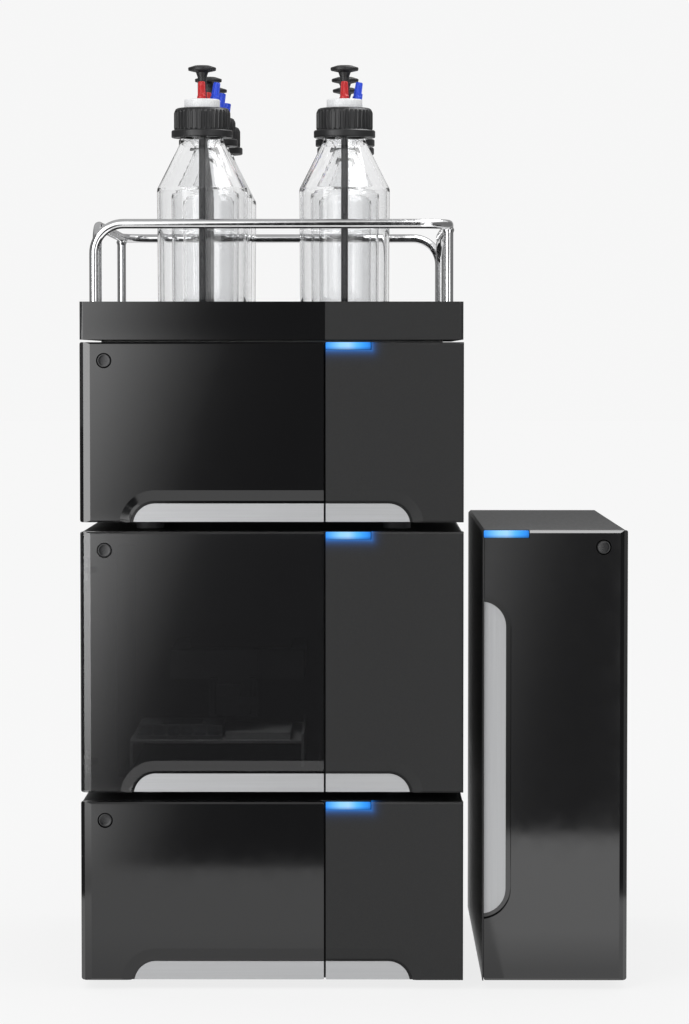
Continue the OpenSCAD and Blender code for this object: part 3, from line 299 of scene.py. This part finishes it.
def make_materials():
    made = {
        "gloss": gloss_black("gloss_black"),
        "smoke": smoked_black("smoked_black", SMOKE_CLEAR),
        "sheet": fine_grain("powder_coated_sheet", (0.028, 0.0285, 0.0295), 0.45, 900, 0.1, 0.45),
        "liner": fine_grain("liner_black", (0.012, 0.012, 0.013), 0.5),
        "tray": tray_black(),
        "silver": brushed("brushed_trim", (0.45, 0.455, 0.463), 0.42, ALONG_X, 0.25),
        "silver_up": brushed("brushed_strip", (0.44, 0.445, 0.453), 0.42, ALONG_Z, 0.25),
        "chrome": brushed("polished_tube", (0.74, 0.742, 0.75), 0.12, EVEN),
        "steel": brushed("turned_steel", (0.6, 0.61, 0.62), 0.28, EVEN),
        "alloy": brushed("alloy_plate", (0.42, 0.43, 0.44), 0.4, ALONG_X),
        "deck": brushed("deck_grey", (0.34, 0.345, 0.35), 0.45, ALONG_X, 0.0),
        "dark_alloy": brushed("dark_alloy", (0.09, 0.092, 0.097), 0.42, ALONG_X),
        "foot": fine_grain("foot_grey", (0.09, 0.09, 0.095), 0.5),
        "rubber": fine_grain("inlet_black", (0.012, 0.012, 0.013), 0.6),
        "glass": clear_glass("bottle_glass", (0.985, 0.987, 0.99)),
        "vial": clear_glass("vial_glass", (0.8, 0.85, 0.88), 0.1),
        "cap": fine_grain("cap_black", (0.011, 0.0112, 0.012), 0.38, 1200, 0.08, 0.4),
        "white": fine_grain("insert_white", (0.8, 0.81, 0.82), 0.38, 800, 0.05),
        "valve": fine_grain("valve_black", (0.012, 0.012, 0.013), 0.4, 1200, 0.08, 0.4),
        "red": fine_grain("fitting_red", (0.5, 0.006, 0.009), 0.35, 900, 0.05),
        "blue": fine_grain("fitting_blue", (0.012, 0.07, 0.68), 0.35, 900, 0.05),
        "tube": fine_grain("tube_black", (0.014, 0.015, 0.018), 0.3, 700, 0.04),
        "rack": fine_grain("rack_grey", (0.12, 0.122, 0.126), 0.45),
        "knob": fine_grain("knob_black", (0.014, 0.014, 0.015), 0.42),
        "button": fine_grain("button_black", (0.012, 0.012, 0.013), 0.25, 900, 0.04),
        "light": status_light(),
    }
    for node in PANELS:
        made[node] = lit_by(fine_grain(node + "_black", SATIN, SATIN_ROUGH, shine=SATIN_SHINE), node)
    return {key: f.mat for key, f in made.items()}


MATERIALS = make_materials()


def paint(node, key):
    data = NODES[node].data
    data.materials.clear()
    data.materials.append(MATERIALS[key])


def paint_frame():
    """Gives every CAD node its finish."""
    for node in PANELS:
        paint(node, node)
    for m in CABINETS:
        paint(m + "_housing", "sheet")
        paint(m + "_liner", "liner")
        paint(m + "_door", "gloss")
        paint(m + "_door_trim", "silver")
        paint(m + "_power_button", "gloss")
    for i in range(1, 7):
        paint(f"bottle_{i}", "glass")
        paint(f"cap_{i}", "cap")
    for node, key in {
        "sampler_door": "smoke", "oven_door_trim": "silver_up", "panel_trims": "silver",
        "status_lights": "blue", "feet": "foot", "power_inlets": "rubber",
        "power_supplies": "sheet", "hinge_pins": "steel", "solvent_tray": "tray",
        "front_rail": "chrome", "rear_rail": "chrome", "cap_inserts": "white",
        "vent_valves": "valve", "red_fittings": "red", "blue_fittings": "blue",
        "intake_tubes": "tube", "sample_deck": "deck", "vial_rack": "rack",
        "vials": "vial", "gantry_beam": "dark_alloy", "needle_carriage": "dark_alloy",
        "needle_head": "dark_alloy", "pump_heads": "steel", "purge_knob": "knob",
        "detector_cell": "alloy", "column_block": "alloy", "columns": "steel",
    }.items():
        paint(node, key)


paint_frame()


def soften(node, width):
    """Small rounded edges that catch the light, as modifiers on a CAD node."""
    obj = NODES[node]
    weld = obj.modifiers.new("weld", "WELD")
    weld.merge_threshold = 0.000002
    bevel = obj.modifiers.new("edges", "BEVEL")
    bevel.width = width
    bevel.segments = 2
    bevel.limit_method = "ANGLE"
    bevel.angle_limit = math.radians(38)
    bevel.harden_normals = True


# ---------------------------------------------------------------- shapes


def fillet(points, steps=6):
    """Rounds the corners of a path. Each point is (x, y, radius) or (x, y, z, radius)."""
    pts = [Vector(p[:-1]) for p in points]
    out = [pts[0]]
    for i in range(1, len(pts) - 1):
        radius, corner = points[i][-1], pts[i]
        a, b = (pts[i - 1] - corner), (pts[i + 1] - corner)
        turn = a.angle(b)
        if radius <= 0 or turn > math.pi - 0.01:
            out.append(corner)
            continue
        reach = min(radius / math.tan(turn / 2), a.length * 0.49, b.length * 0.49)
        radius = reach * math.tan(turn / 2)
        a.normalize()
        b.normalize()
        centre = corner + (a + b).normalized() * (radius / math.sin(turn / 2))
        start, end = corner + a * reach - centre, corner + b * reach - centre
        swing = start.angle(end)
        for k in range(steps + 1):
            t = k / steps
            share = [math.sin((1 - t) * swing) / math.sin(swing), math.sin(t * swing) / math.sin(swing)]
            out.append(centre + start * share[0] + end * share[1])
    out.append(pts[-1])
    return out


def finish_mesh(name, mesh_or_bm, key, body, nodes=(), sharp=32):
    """Links a new mesh as a piece with a material, on a body, in place of CAD nodes."""
    mesh = bpy.data.meshes.new(name)
    bmesh.ops.recalc_face_normals(mesh_or_bm, faces=mesh_or_bm.faces)
    mesh_or_bm.to_mesh(mesh)
    mesh_or_bm.free()
    mesh.shade_smooth()
    mesh.set_sharp_from_angle(angle=math.radians(sharp))
    mesh.materials.append(MATERIALS[key])
    obj = bpy.data.objects.new(name, mesh)
    bpy.context.scene.collection.objects.link(obj)
    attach(obj, body)
    if nodes:
        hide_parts(*nodes)
    return obj


def add_turned(bm, profile, place, steps=96, lean=0.0, axis="Z", ribs=(0, 0.0)):
    """Adds a turned solid. profile holds (radius, height) or (radius, height, ribbed share) in mm,
    in order along the outline; a radius of zero closes on the axis."""
    count, depth = ribs
    rings = []
    turn = math.radians(lean)
    for point in profile:
        radius, height = point[0], point[1]
        share = point[2] if len(point) > 2 else 0
        ring = []
        for k in range(1 if radius < 1e-6 else steps):
            angle = 2 * math.pi * k / steps
            wave = max(0.0, math.cos(count * angle)) ** 0.5 if count else 0
            r = radius - share * depth * (1 - wave)
            x, y, z = r * math.cos(angle), r * math.sin(angle), height
            x, z = x * math.cos(turn) + z * math.sin(turn), z * math.cos(turn) - x * math.sin(turn)
            if axis == "Y":
                x, y, z = x, z, y
            ring.append(bm.verts.new((Vector((x, y, z)) + place) * MM))
        rings.append(ring)
    pairs = list(zip(rings, rings[1:]))
    if len(rings[0]) > 1:
        pairs.append((rings[-1], rings[0]))
    for a, b in pairs:
        for k in range(steps):
            n = (k + 1) % steps
            corners = [a[k % len(a)], a[n % len(a)], b[n % len(b)], b[k % len(b)]]
            unique = list(dict.fromkeys(corners))
            if len(unique) > 2:
                bm.faces.new(unique)


def turned(name, profile, places, key, body, nodes=(), slot=None, **kind):
    bm = bmesh.new()
    for place in places:
        add_turned(bm, profile, Vector(place), **kind)
    return finish_mesh(name, bm, key, body, nodes)


def tube(name, runs, radius, key, body, nodes):
    """Bent round tube along each run of points, in mm."""
    curve = bpy.data.curves.new(name, "CURVE")
    curve.dimensions = "3D"
    curve.bevel_depth = radius * MM
    curve.bevel_resolution = 8
    curve.use_fill_caps = True
    for run in runs:
        line = curve.splines.new("POLY")
        line.points.add(len(run) - 1)
        for point, at in zip(line.points, run):
            point.co = (*(at * MM), 1)
    curve.materials.append(MATERIALS[key])
    obj = bpy.data.objects.new(name, curve)
    bpy.context.scene.collection.objects.link(obj)
    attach(obj, body)
    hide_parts(*nodes)
    return obj


def add_box(bm, low, high):
    made = bmesh.ops.create_cube(bm, size=1)["verts"]
    centre, size = (Vector(low) + Vector(high)) / 2, Vector(high) - Vector(low)
    for v in made:
        v.co = (centre + Vector(v.co[i] * size[i] for i in range(3))) * MM


def round_edges(obj, width, segments=3):
    bevel = obj.modifiers.new("edges", "BEVEL")
    bevel.width = width
    bevel.segments = segments
    bevel.limit_method = "ANGLE"
    bevel.angle_limit = math.radians(38)


def box_mm(node):
    """Lowest and highest corner of a CAD node, in mm."""
    low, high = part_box(node)
    return low / MM, high / MM


# ---------------------------------------------------------------- bottles

BOTTLES = range(1, 7)


def bottle_axis(i):
    low, high = box_mm(f"cap_{i}")
    return (low.x + high.x) / 2, (low.y + high.y) / 2


def all_axes(z):
    return [(*bottle_axis(i), z) for i in BOTTLES]


def make_bottles():
    """Blown bottles with a rounded heel, a thick base and a straight shoulder."""
    low, high = box_mm("bottle_1")
    radius, tall, wall = (high.x - low.x) / 2, high.z - low.z, 2.5
    side, shoulder, neck, rim = 148.7, 192.6, 23.5, 21.5
    outline = [
        (0, 1.6, 0), (radius - 13, 1.6, 3), (radius - 9, 0, 3), (radius - 1, 0, 9),
        (radius, side, 7), (neck, shoulder, 5), (rim, shoulder + 5, 2), (rim, tall - 8, 0.5),
        (rim + 0.4, tall - 6, 0.6), (rim, tall, 1.2), (rim - wall, tall, 1.2),
        (rim - wall, shoulder, 8), (radius - wall, side - 1.5, 6), (radius - wall - 1, 4, 7),
        (radius - 14, 4, 4), (0, 5.2, 0),
    ]
    profile = fillet(outline, 7)
    for i in BOTTLES:
        turned(f"blown_bottle_{i}", profile, [(*bottle_axis(i), low.z)], "glass", ROOT,
               [f"bottle_{i}"], "glass", steps=128)


def make_caps():
    """Screw caps: ribbed grip, bevelled top and a plain flange below."""
    low, high = box_mm("cap_1")
    h, flange = high.z - low.z, (high.x - low.x) / 2
    grip, inside, hole = flange - 2.5, 22.0, 18.15
    profile = [
        (inside, 0), (flange - 0.8, 0), (flange, 0.7), (flange, 6.4), (flange - 0.9, 7.4),
        (grip - 0.9, 7.5), (grip - 0.4, 8.4, 0.6), (grip, 9.6, 1), (grip, h - 5.4, 1),
        (grip - 0.3, h - 4.0, 0.8), (grip - 1.0, h - 2.6), (grip - 1.9, h - 1.0), (grip - 3.6, h - 0.2),
        (grip - 5.2, h), (hole + 0.5, h), (hole, h - 0.5), (hole, h - 3.5), (inside, h - 3.5),
    ]
    for i in BOTTLES:
        turned(f"screw_cap_{i}", profile, [(*bottle_axis(i), low.z)], "cap", f"cap_{i}",
               [f"cap_{i}"], "cap", steps=288, ribs=(36, 1.0))


def make_inserts():
    low, high = box_mm("cap_inserts")
    h = high.z - low.z
    outline = [
        (0, 0, 0), (18.5, 0, 0.6), (18.5, 12, 0), (21.4, 12, 0.4), (21.4, 13.9, 0.4), (18, 13.9, 0),
        (18, h - 0.2, 1.3), (15.5, h, 0.3), (15, h - 0.7, 0.3), (7, h - 0.7, 0.3), (6.4, h, 0.3), (0, h, 0),
    ]
    turned("white_inserts", fillet(outline, 4), all_axes(low.z), "white", ROOT,
           ["cap_inserts"], "insert", steps=96)


def make_valves():
    low, high = box_mm("vent_valves")
    h, stem, disc = high.z - low.z, 4.55, 14.15
    outline = [
        (0, 0, 0), (stem + 0.6, 0, 0.2), (stem + 0.6, 2, 0.3), (stem, 2.6, 0.3), (stem, h - 12, 0.6),
        (stem + 0.9, h - 9.6, 1.2), (6.2, h - 7.2, 1), (disc - 0.2, h - 5.4, 0.8), (disc, h - 2.5, 0.8),
        (disc - 6.5, h - 0.4, 2), (0, h, 0),
    ]
    turned("turned_valves", fillet(outline, 5), all_axes(low.z), "valve", ROOT,
           ["vent_valves"], "valve", steps=72)


def make_fittings():
    """Ribbed finger-tight fittings, red in front of the stem and blue beside it."""
    low, high = box_mm("red_fittings")
    h, foot, top = high.z - low.z, 4.5, 3.45
    profile = [
        (0, 0), (foot - 0.3, 0), (foot, 0.3), (foot, 2.7), (foot - 0.4, 3.1), (foot - 0.6, 3.6, 0.3),
        (foot - 0.4, 4.4, 1), (top + 0.1, h - 1.2, 1), (top - 0.2, h - 0.4, 0.4), (top - 0.6, h),
        (1.1, h), (0.9, h - 0.8), (0, h - 0.8),
    ]
    spread = [(x, y - 10.4, low.z) for x, y, _ in all_axes(0)]
    turned("red_line_fittings", profile, spread, "red", ROOT, ["red_fittings"], "red",
           steps=96, ribs=(12, 0.7))
    bm = bmesh.new()
    collar = [(0, 0), (foot - 0.3, 0), (foot, 0.3), (foot, 2.7), (foot - 0.3, 3), (0, 3)]
    body = [(0, 0), (3.9, 0), (3.9, 1.6), (4.0, 2.4, 1), (top + 0.1, h - 2.4, 1),
            (top - 0.2, h - 1.9, 0.4), (top - 0.6, h - 1.5), (1.1, h - 1.5), (0.9, h - 2.3), (0, h - 2.3)]
    blue_low, _ = box_mm("blue_fittings")
    for x, y, _ in all_axes(0):
        add_turned(bm, collar, Vector((x + 12.6, y, blue_low.z)), steps=48)
        add_turned(bm, body, Vector((x + 12.6, y, blue_low.z + 1.5)), steps=96, lean=9, ribs=(12, 0.7))
    finish_mesh("blue_line_fittings", bm, "blue", ROOT, ["blue_fittings"])


def make_intake_tubes():
    low, high = box_mm("intake_tubes")
    h, r = high.z - low.z, 3.5
    profile = [(r - 1.5, 0), (r - 0.2, 0), (r, 0.3), (r, h - 0.3), (r - 0.2, h), (r - 1.5, h)]
    turned("dip_tubes", profile, all_axes(low.z), "tube", ROOT, ["intake_tubes"], "tube", steps=40)


# ---------------------------------------------------------------- rails

RAIL_R = 4.75
RAIL_BEND = 29


def make_rails():
    """Two bent tubes, each with one more post welded under its flat bend."""
    low_a, high_a = box_mm("front_rail")
    low_b, high_b = box_mm("rear_rail")
    left, right = low_a.x + RAIL_R, high_a.x - RAIL_R
    front, back = low_a.y + RAIL_R, high_b.y - RAIL_R
    base, top = low_a.z, high_a.z - RAIL_R
    ends = (high_a.y - RAIL_R, low_b.y + RAIL_R)
    b = RAIL_BEND
    run_a = fillet([
        (left, front, base, 0), (left, front, top, b), (right, front, top, b),
        (right, ends[0], top, b), (right, ends[0], base, 0)], 14)
    run_b = fillet([
        (left, ends[1], base, 0), (left, ends[1], top, b), (left, back, top, b),
        (right, back, top, b), (right, back, base, 0)], 14)
    post_a = [Vector((right, front + b, base)), Vector((right, front + b, top))]
    post_b = [Vector((left, back - b, base)), Vector((left, back - b, top))]
    tube("bent_front_rail", [run_a, post_a], RAIL_R, "chrome", ROOT, ["front_rail"])
    tube("bent_rear_rail", [run_b, post_b], RAIL_R, "chrome", ROOT, ["rear_rail"])
    weld = fillet([
        (RAIL_R, -8, 0), (RAIL_R + 1.0, -5.2, 1.2), (RAIL_R + 0.4, -3.4, 0.5), (RAIL_R - 1, -3, 0)], 5)
    ring = [(p.x, p.y) for p in weld] + [(RAIL_R - 1, -8)]
    turned("rail_welds", ring, [(right, front + b, top), (left, back - b, top)], "chrome", ROOT,
           slot="rail", steps=48)


# ---------------------------------------------------------------- buttons and lights

BUTTON_R = 6.6


def make_buttons():
    """Dished round buttons with a rolled rim."""
    outline = [(0, 0.55, 0), (4.2, 0.3, 2), (5.5, 0, 0.6), (BUTTON_R, 0, 0.5), (BUTTON_R, 3, 0.4),
               (6.0, 9, 0), (0, 9, 0)]
    for m in CABINETS:
        low, high = box_mm(m + "_power_button")
        place = ((low.x + high.x) / 2, low.y, (low.z + high.z) / 2)
        radius = (high.x - low.x) / 2
        profile = [(p.x * radius / BUTTON_R, p.y) for p in fillet(outline, 4)]
        turned(m + "_round_button", profile, [place], "button", m + "_power_button",
               [m + "_power_button"], "button", steps=72, axis="Y")


def make_lights():
    """Frosted bars, one at the corner of each front, bluest at their ends."""
    wide, tall = LIGHT_SIZE
    bm = bmesh.new()
    layer = bm.loops.layers.uv.new("along")
    for node in LIT:
        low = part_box(node)[0].y / MM
        x, top = (at / MM for at in light_corner(node))
        add_box(bm, (x, low + 0.4, top - tall), (x + wide - 0.4, low + 5, top))
        bm.faces.ensure_lookup_table()
        for face in bm.faces[-6:]:
            for loop in face.loops:
                at = loop.vert.co / MM
                loop[layer].uv = ((at.x - x) / wide, (at.z - top + tall) / tall)
    obj = finish_mesh("status_bars", bm, "light", ROOT, ["status_lights"])
    round_edges(obj, 0.0009)


make_bottles()
make_caps()
make_inserts()
make_valves()
make_fittings()
make_intake_tubes()
make_rails()
make_buttons()
make_lights()

for name in CABINETS:
    soften(name + "_door", 0.0006)
    soften(name + "_housing", 0.0005)
    soften(name + "_door_trim", 0.0003)
for name in STACK:
    soften(name + "_panel", 0.0006)
for name in ("panel_trims", "gantry_beam", "needle_carriage", "needle_head", "column_block",
             "detector_cell", "pump_heads", "vial_rack", "sample_deck"):
    soften(name, 0.0004)
soften("solvent_tray", 0.0008)

# ---------------------------------------------------------------- camera

CAMERA = Vector((5.3, -3564.7, 628.2)) * MM
PITCH = 0.0456
YAW = 0.0044
LENS = 118.9


def make_camera():
    data = bpy.data.cameras.new("view")
    data.lens = LENS
    data.sensor_width = 36
    data.clip_end = 60
    cam = bpy.data.objects.new("view", data)
    bpy.context.scene.collection.objects.link(cam)
    cam.location = CAMERA
    cam.rotation_euler = (math.pi / 2 - PITCH, 0, YAW)
    bpy.context.scene.camera = cam


make_camera()

# ---------------------------------------------------------------- light and floor

WORLD_SHADE = 0.925


def make_world():
    world = bpy.data.worlds.new("studio")
    bpy.context.scene.world = world
    world.use_nodes = True
    back = world.node_tree.nodes["Background"]
    back.inputs["Color"].default_value = (WORLD_SHADE, WORLD_SHADE, WORLD_SHADE, 1)
    back.inputs["Strength"].default_value = 1.0


def stage_plane(name, corners, mat, shown):
    """A flat card of the studio. Only the kinds of ray in shown see it."""
    mesh = bpy.data.meshes.new(name)
    mesh.from_pydata([Vector(c) for c in corners], [], [range(len(corners))])
    mesh.materials.append(mat)
    obj = bpy.data.objects.new(name, mesh)
    bpy.context.scene.collection.objects.link(obj)
    for kind in ("camera", "diffuse", "glossy", "transmission", "shadow", "volume_scatter"):
        setattr(obj, "visible_" + kind, kind in shown)
    return obj


def glow_material(name, stops, low=0.0, high=1.0, along=(1, 0, 0)):
    """Emission with a brightness ramp along a direction, from low to high in metres."""
    mat = bpy.data.materials.new(name)
    mat.use_nodes = True
    tree = mat.node_tree
    tree.nodes.clear()
    coords = tree.nodes.new("ShaderNodeTexCoord")
    reach = tree.nodes.new("ShaderNodeVectorMath")
    reach.operation = "DOT_PRODUCT"
    reach.inputs[1].default_value = along
    span = tree.nodes.new("ShaderNodeMapRange")
    span.inputs["From Min"].default_value = low
    span.inputs["From Max"].default_value = high
    ramp = tree.nodes.new("ShaderNodeValToRGB")
    while len(ramp.color_ramp.elements) < len(stops):
        ramp.color_ramp.elements.new(0.5)
    for stop, (at, value) in zip(ramp.color_ramp.elements, stops):
        stop.position = (at - low) / (high - low)
        stop.color = (value, value, value, 1)
    glow = tree.nodes.new("ShaderNodeEmission")
    out = tree.nodes.new("ShaderNodeOutputMaterial")
    tree.links.new(coords.outputs["Object"], reach.inputs[0])
    tree.links.new(reach.outputs["Value"], span.inputs["Value"])
    tree.links.new(span.outputs[0], ramp.inputs["Fac"])
    tree.links.new(ramp.outputs["Color"], glow.inputs["Color"])
    tree.links.new(glow.outputs[0], out.inputs["Surface"])
    return mat


BACKGROUND = 0.93
FLOOR_SHADE = 0.13
STACK_WALL_Y = FRONT - 0.81
OVEN_WALL_Y = FRONT - 1.10
WALL_SPLIT = 0.152
OVEN_WALL_END = 0.36


def make_floor():
    """Pale floor: partly self-lit, so that it meets the background without a line."""
    mat = bpy.data.materials.new("floor")
    mat.use_nodes = True
    tree = mat.node_tree
    tree.nodes.clear()
    matte = tree.nodes.new("ShaderNodeBsdfDiffuse")
    matte.inputs["Color"].default_value = (FLOOR_SHADE, FLOOR_SHADE, FLOOR_SHADE, 1)
    glow = tree.nodes.new("ShaderNodeEmission")
    glow.inputs["Color"].default_value = (1, 1, 1, 1)
    glow.inputs["Strength"].default_value = BACKGROUND * (1 - FLOOR_SHADE)
    both = tree.nodes.new("ShaderNodeAddShader")
    out = tree.nodes.new("ShaderNodeOutputMaterial")
    tree.links.new(matte.outputs[0], both.inputs[0])
    tree.links.new(glow.outputs[0], both.inputs[1])
    tree.links.new(both.outputs[0], out.inputs["Surface"])
    mesh = bpy.data.meshes.new("floor")
    mesh.from_pydata([(-30, -30, 0), (30, -30, 0), (30, 30, 0), (-30, 30, 0)], [], [(0, 1, 2, 3)])
    mesh.materials.append(mat)
    floor = bpy.data.objects.new("floor", mesh)
    bpy.context.scene.collection.objects.link(floor)


def upright(x0, y0, x1, y1, low, high):
    """Corners of an upright card between two points of the floor plan."""
    return [(x0, y0, low), (x1, y1, low), (x1, y1, high), (x0, y0, high)]


def level(x0, y0, x1, y1, z):
    return [(x0, y0, z), (x1, y0, z), (x1, y1, z), (x0, y1, z)]


# Brightness across the wall before the stack, by place along a line that leans with height
STACK_RAMP = [(-0.33, 2.65), (-0.323, 2.6), (-0.288, 1.99), (-0.264, 1.51), (-0.239, 1.09),
              (-0.215, 0.72), (-0.19, 0.42), (-0.1535, 0.11), (-0.117, 0.047), (-0.05, 0.02)]
STACK_LEAN = -0.33
# Pieces of that wall, each seen in one front: from, to and the height where its ramp is true
STACK_PIECES = [(0.0, 0.086, 0.253), (0.086, 0.428, 0.5065), (0.428, 0.652, 0.643), (0.652, 1.4, 0.769)]
OVEN_RAMP = [(0.18, 0.93), (0.2, 0.72), (0.222, 0.53), (0.242, 0.37), (0.269, 0.22),
             (0.295, 0.14), (0.33, 0.1)]
OVEN_LEAN = -0.2
OVEN_TRUE = 0.38
FACET_RAMP = [(0, 0.87), (0.0214, 0.9), (0.063, 1.56), (0.105, 2.3), (0.128, 1.8), (0.17, 2.8),
              (0.24, 4.06), (0.31, 4.96), (0.38, 5.8), (1.2, 5.9)]


def even(value):
    """Stops of a card that is equally bright all over."""
    return [(0, value), (1, value)]


def add_card(name, corners, stops, along, shown=("glossy",)):
    """A glowing card, which only reflections see unless shown says otherwise."""
    mat = glow_material(name, stops, stops[0][0], stops[-1][0], along)
    stage_plane(name, corners, mat, shown)


def make_wall_cards():
    """The bright wall in front, whose light fades across the doors."""
    for number, (low, high, true) in enumerate(STACK_PIECES):
        stops = [(at + STACK_LEAN * true, value) for at, value in STACK_RAMP]
        add_card(f"stack_wall_{number}", upright(-0.9, STACK_WALL_Y, WALL_SPLIT, STACK_WALL_Y, low, high),
                 stops, (1, 0, STACK_LEAN))
    stops = [(at + OVEN_LEAN * OVEN_TRUE, value) for at, value in OVEN_RAMP]
    add_card("oven_wall", upright(WALL_SPLIT, OVEN_WALL_Y, OVEN_WALL_END, OVEN_WALL_Y, 0, 1.4),
             stops, (1, 0, OVEN_LEAN))


def make_room_cards():
    """Floor, sides, back and ceiling, as the doors, facets and housings reflect them."""
    cards = {
        "oven_floor": (level(WALL_SPLIT, OVEN_WALL_Y, 0.9, FRONT, 0.0005),
                       [(-1.1, 1.76), (-0.56, 1.7), (-0.34, 1.1)], (0, 1, 0)),
        "stack_floor": (level(-0.36, STACK_WALL_Y, WALL_SPLIT, FRONT, 0.0005),
                        [(-1.0, 1.0), (-0.55, 0.97), (-0.26, 0.76)], (0, 1, 0)),
        "facet_light": (upright(-0.768, -0.571, -0.596, -0.737, 0, 1.3), FACET_RAMP, (0, 0, 1)),
        "facet_floor": ([(-0.3, -0.27, 0.0006), (-0.345, -0.235, 0.0006), (-0.8, -0.66, 0.0006),
                         (-0.66, -0.8, 0.0006)], [(-0.75, 1.5), (-0.25, 0.87)], (0, 1, 0)),
        "left_dark": (upright(-0.8, -0.25, -0.8, 0.9, 0, 1.1), even(0.04), (0, 0, 1)),
        "right_front": (upright(0.8, -0.9, 0.8, -0.22, 0, 1.1), even(0.04), (0, 0, 1)),
        "right_back": (upright(0.8, -0.22, 0.8, 0.9, 0, 1.1), even(0.28), (0, 0, 1)),
        "arch_light": (upright(0.44, -1.45, 0.9, -1.25, 0.1, 0.75), even(2.4), (0, 0, 1)),
        "back": (upright(-2, 1.6, 2, 1.6, 0, 2.2), even(0.35), (0, 0, 1)),
        "ceiling": (level(-2, -0.6, 0.1, 1.6, 1.5), even(0.5), (1, 0, 0)),
        "oven_sky": (level(0.1, -0.7, 0.42, 0.1, 1.2), even(8), (1, 0, 0)),
    }
    for name, card in cards.items():
        add_card(name, *card)


BOTTLE_CARD_X = 0.62
BOTTLE_MIDDLE_X = -0.08


def make_bottle_cards():
    """Dark cards on both sides of the bottles, for reflections and for what the glass shows."""
    dark = glow_material("side_card", even(0.2))
    for side in (-1, 1):
        x = side * BOTTLE_CARD_X + BOTTLE_MIDDLE_X
        stage_plane("bottle_card", upright(x, -0.7, x, 0.6, 0.55, 1.05), dark, ("glossy", "transmission"))


def area_light(name, at, aim, size, power):
    data = bpy.data.lights.new(name, "AREA")
    data.shape = "RECTANGLE"
    data.size, data.size_y = size
    data.energy = power
    obj = bpy.data.objects.new(name, data)
    bpy.context.scene.collection.objects.link(obj)
    obj.location = at
    obj.rotation_euler = (Vector(aim) - Vector(at)).to_track_quat("-Z", "Y").to_euler()
    return obj


def make_lamps():
    """A soft key lamp, and a small lamp under the roof of the sampler's compartment."""
    key = area_light("key", (-1.6, -2.6, 2.6), (0, 0, 0.6), (1.2, 1.2), 25)
    key.visible_glossy = False
    low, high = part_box("sampler_liner")
    x = (low.x + high.x) / 2 - 0.03
    lamp = area_light("sampler_lamp", (x, -0.12, high.z - 0.012), (x, -0.1, low.z), (0.2, 0.12), 0.9)
    lamp.visible_camera = False
    lamp.visible_glossy = False


make_world()
make_floor()
make_wall_cards()
make_room_cards()
make_bottle_cards()
make_lamps()
bpy.context.scene.view_settings.view_transform = "Standard"
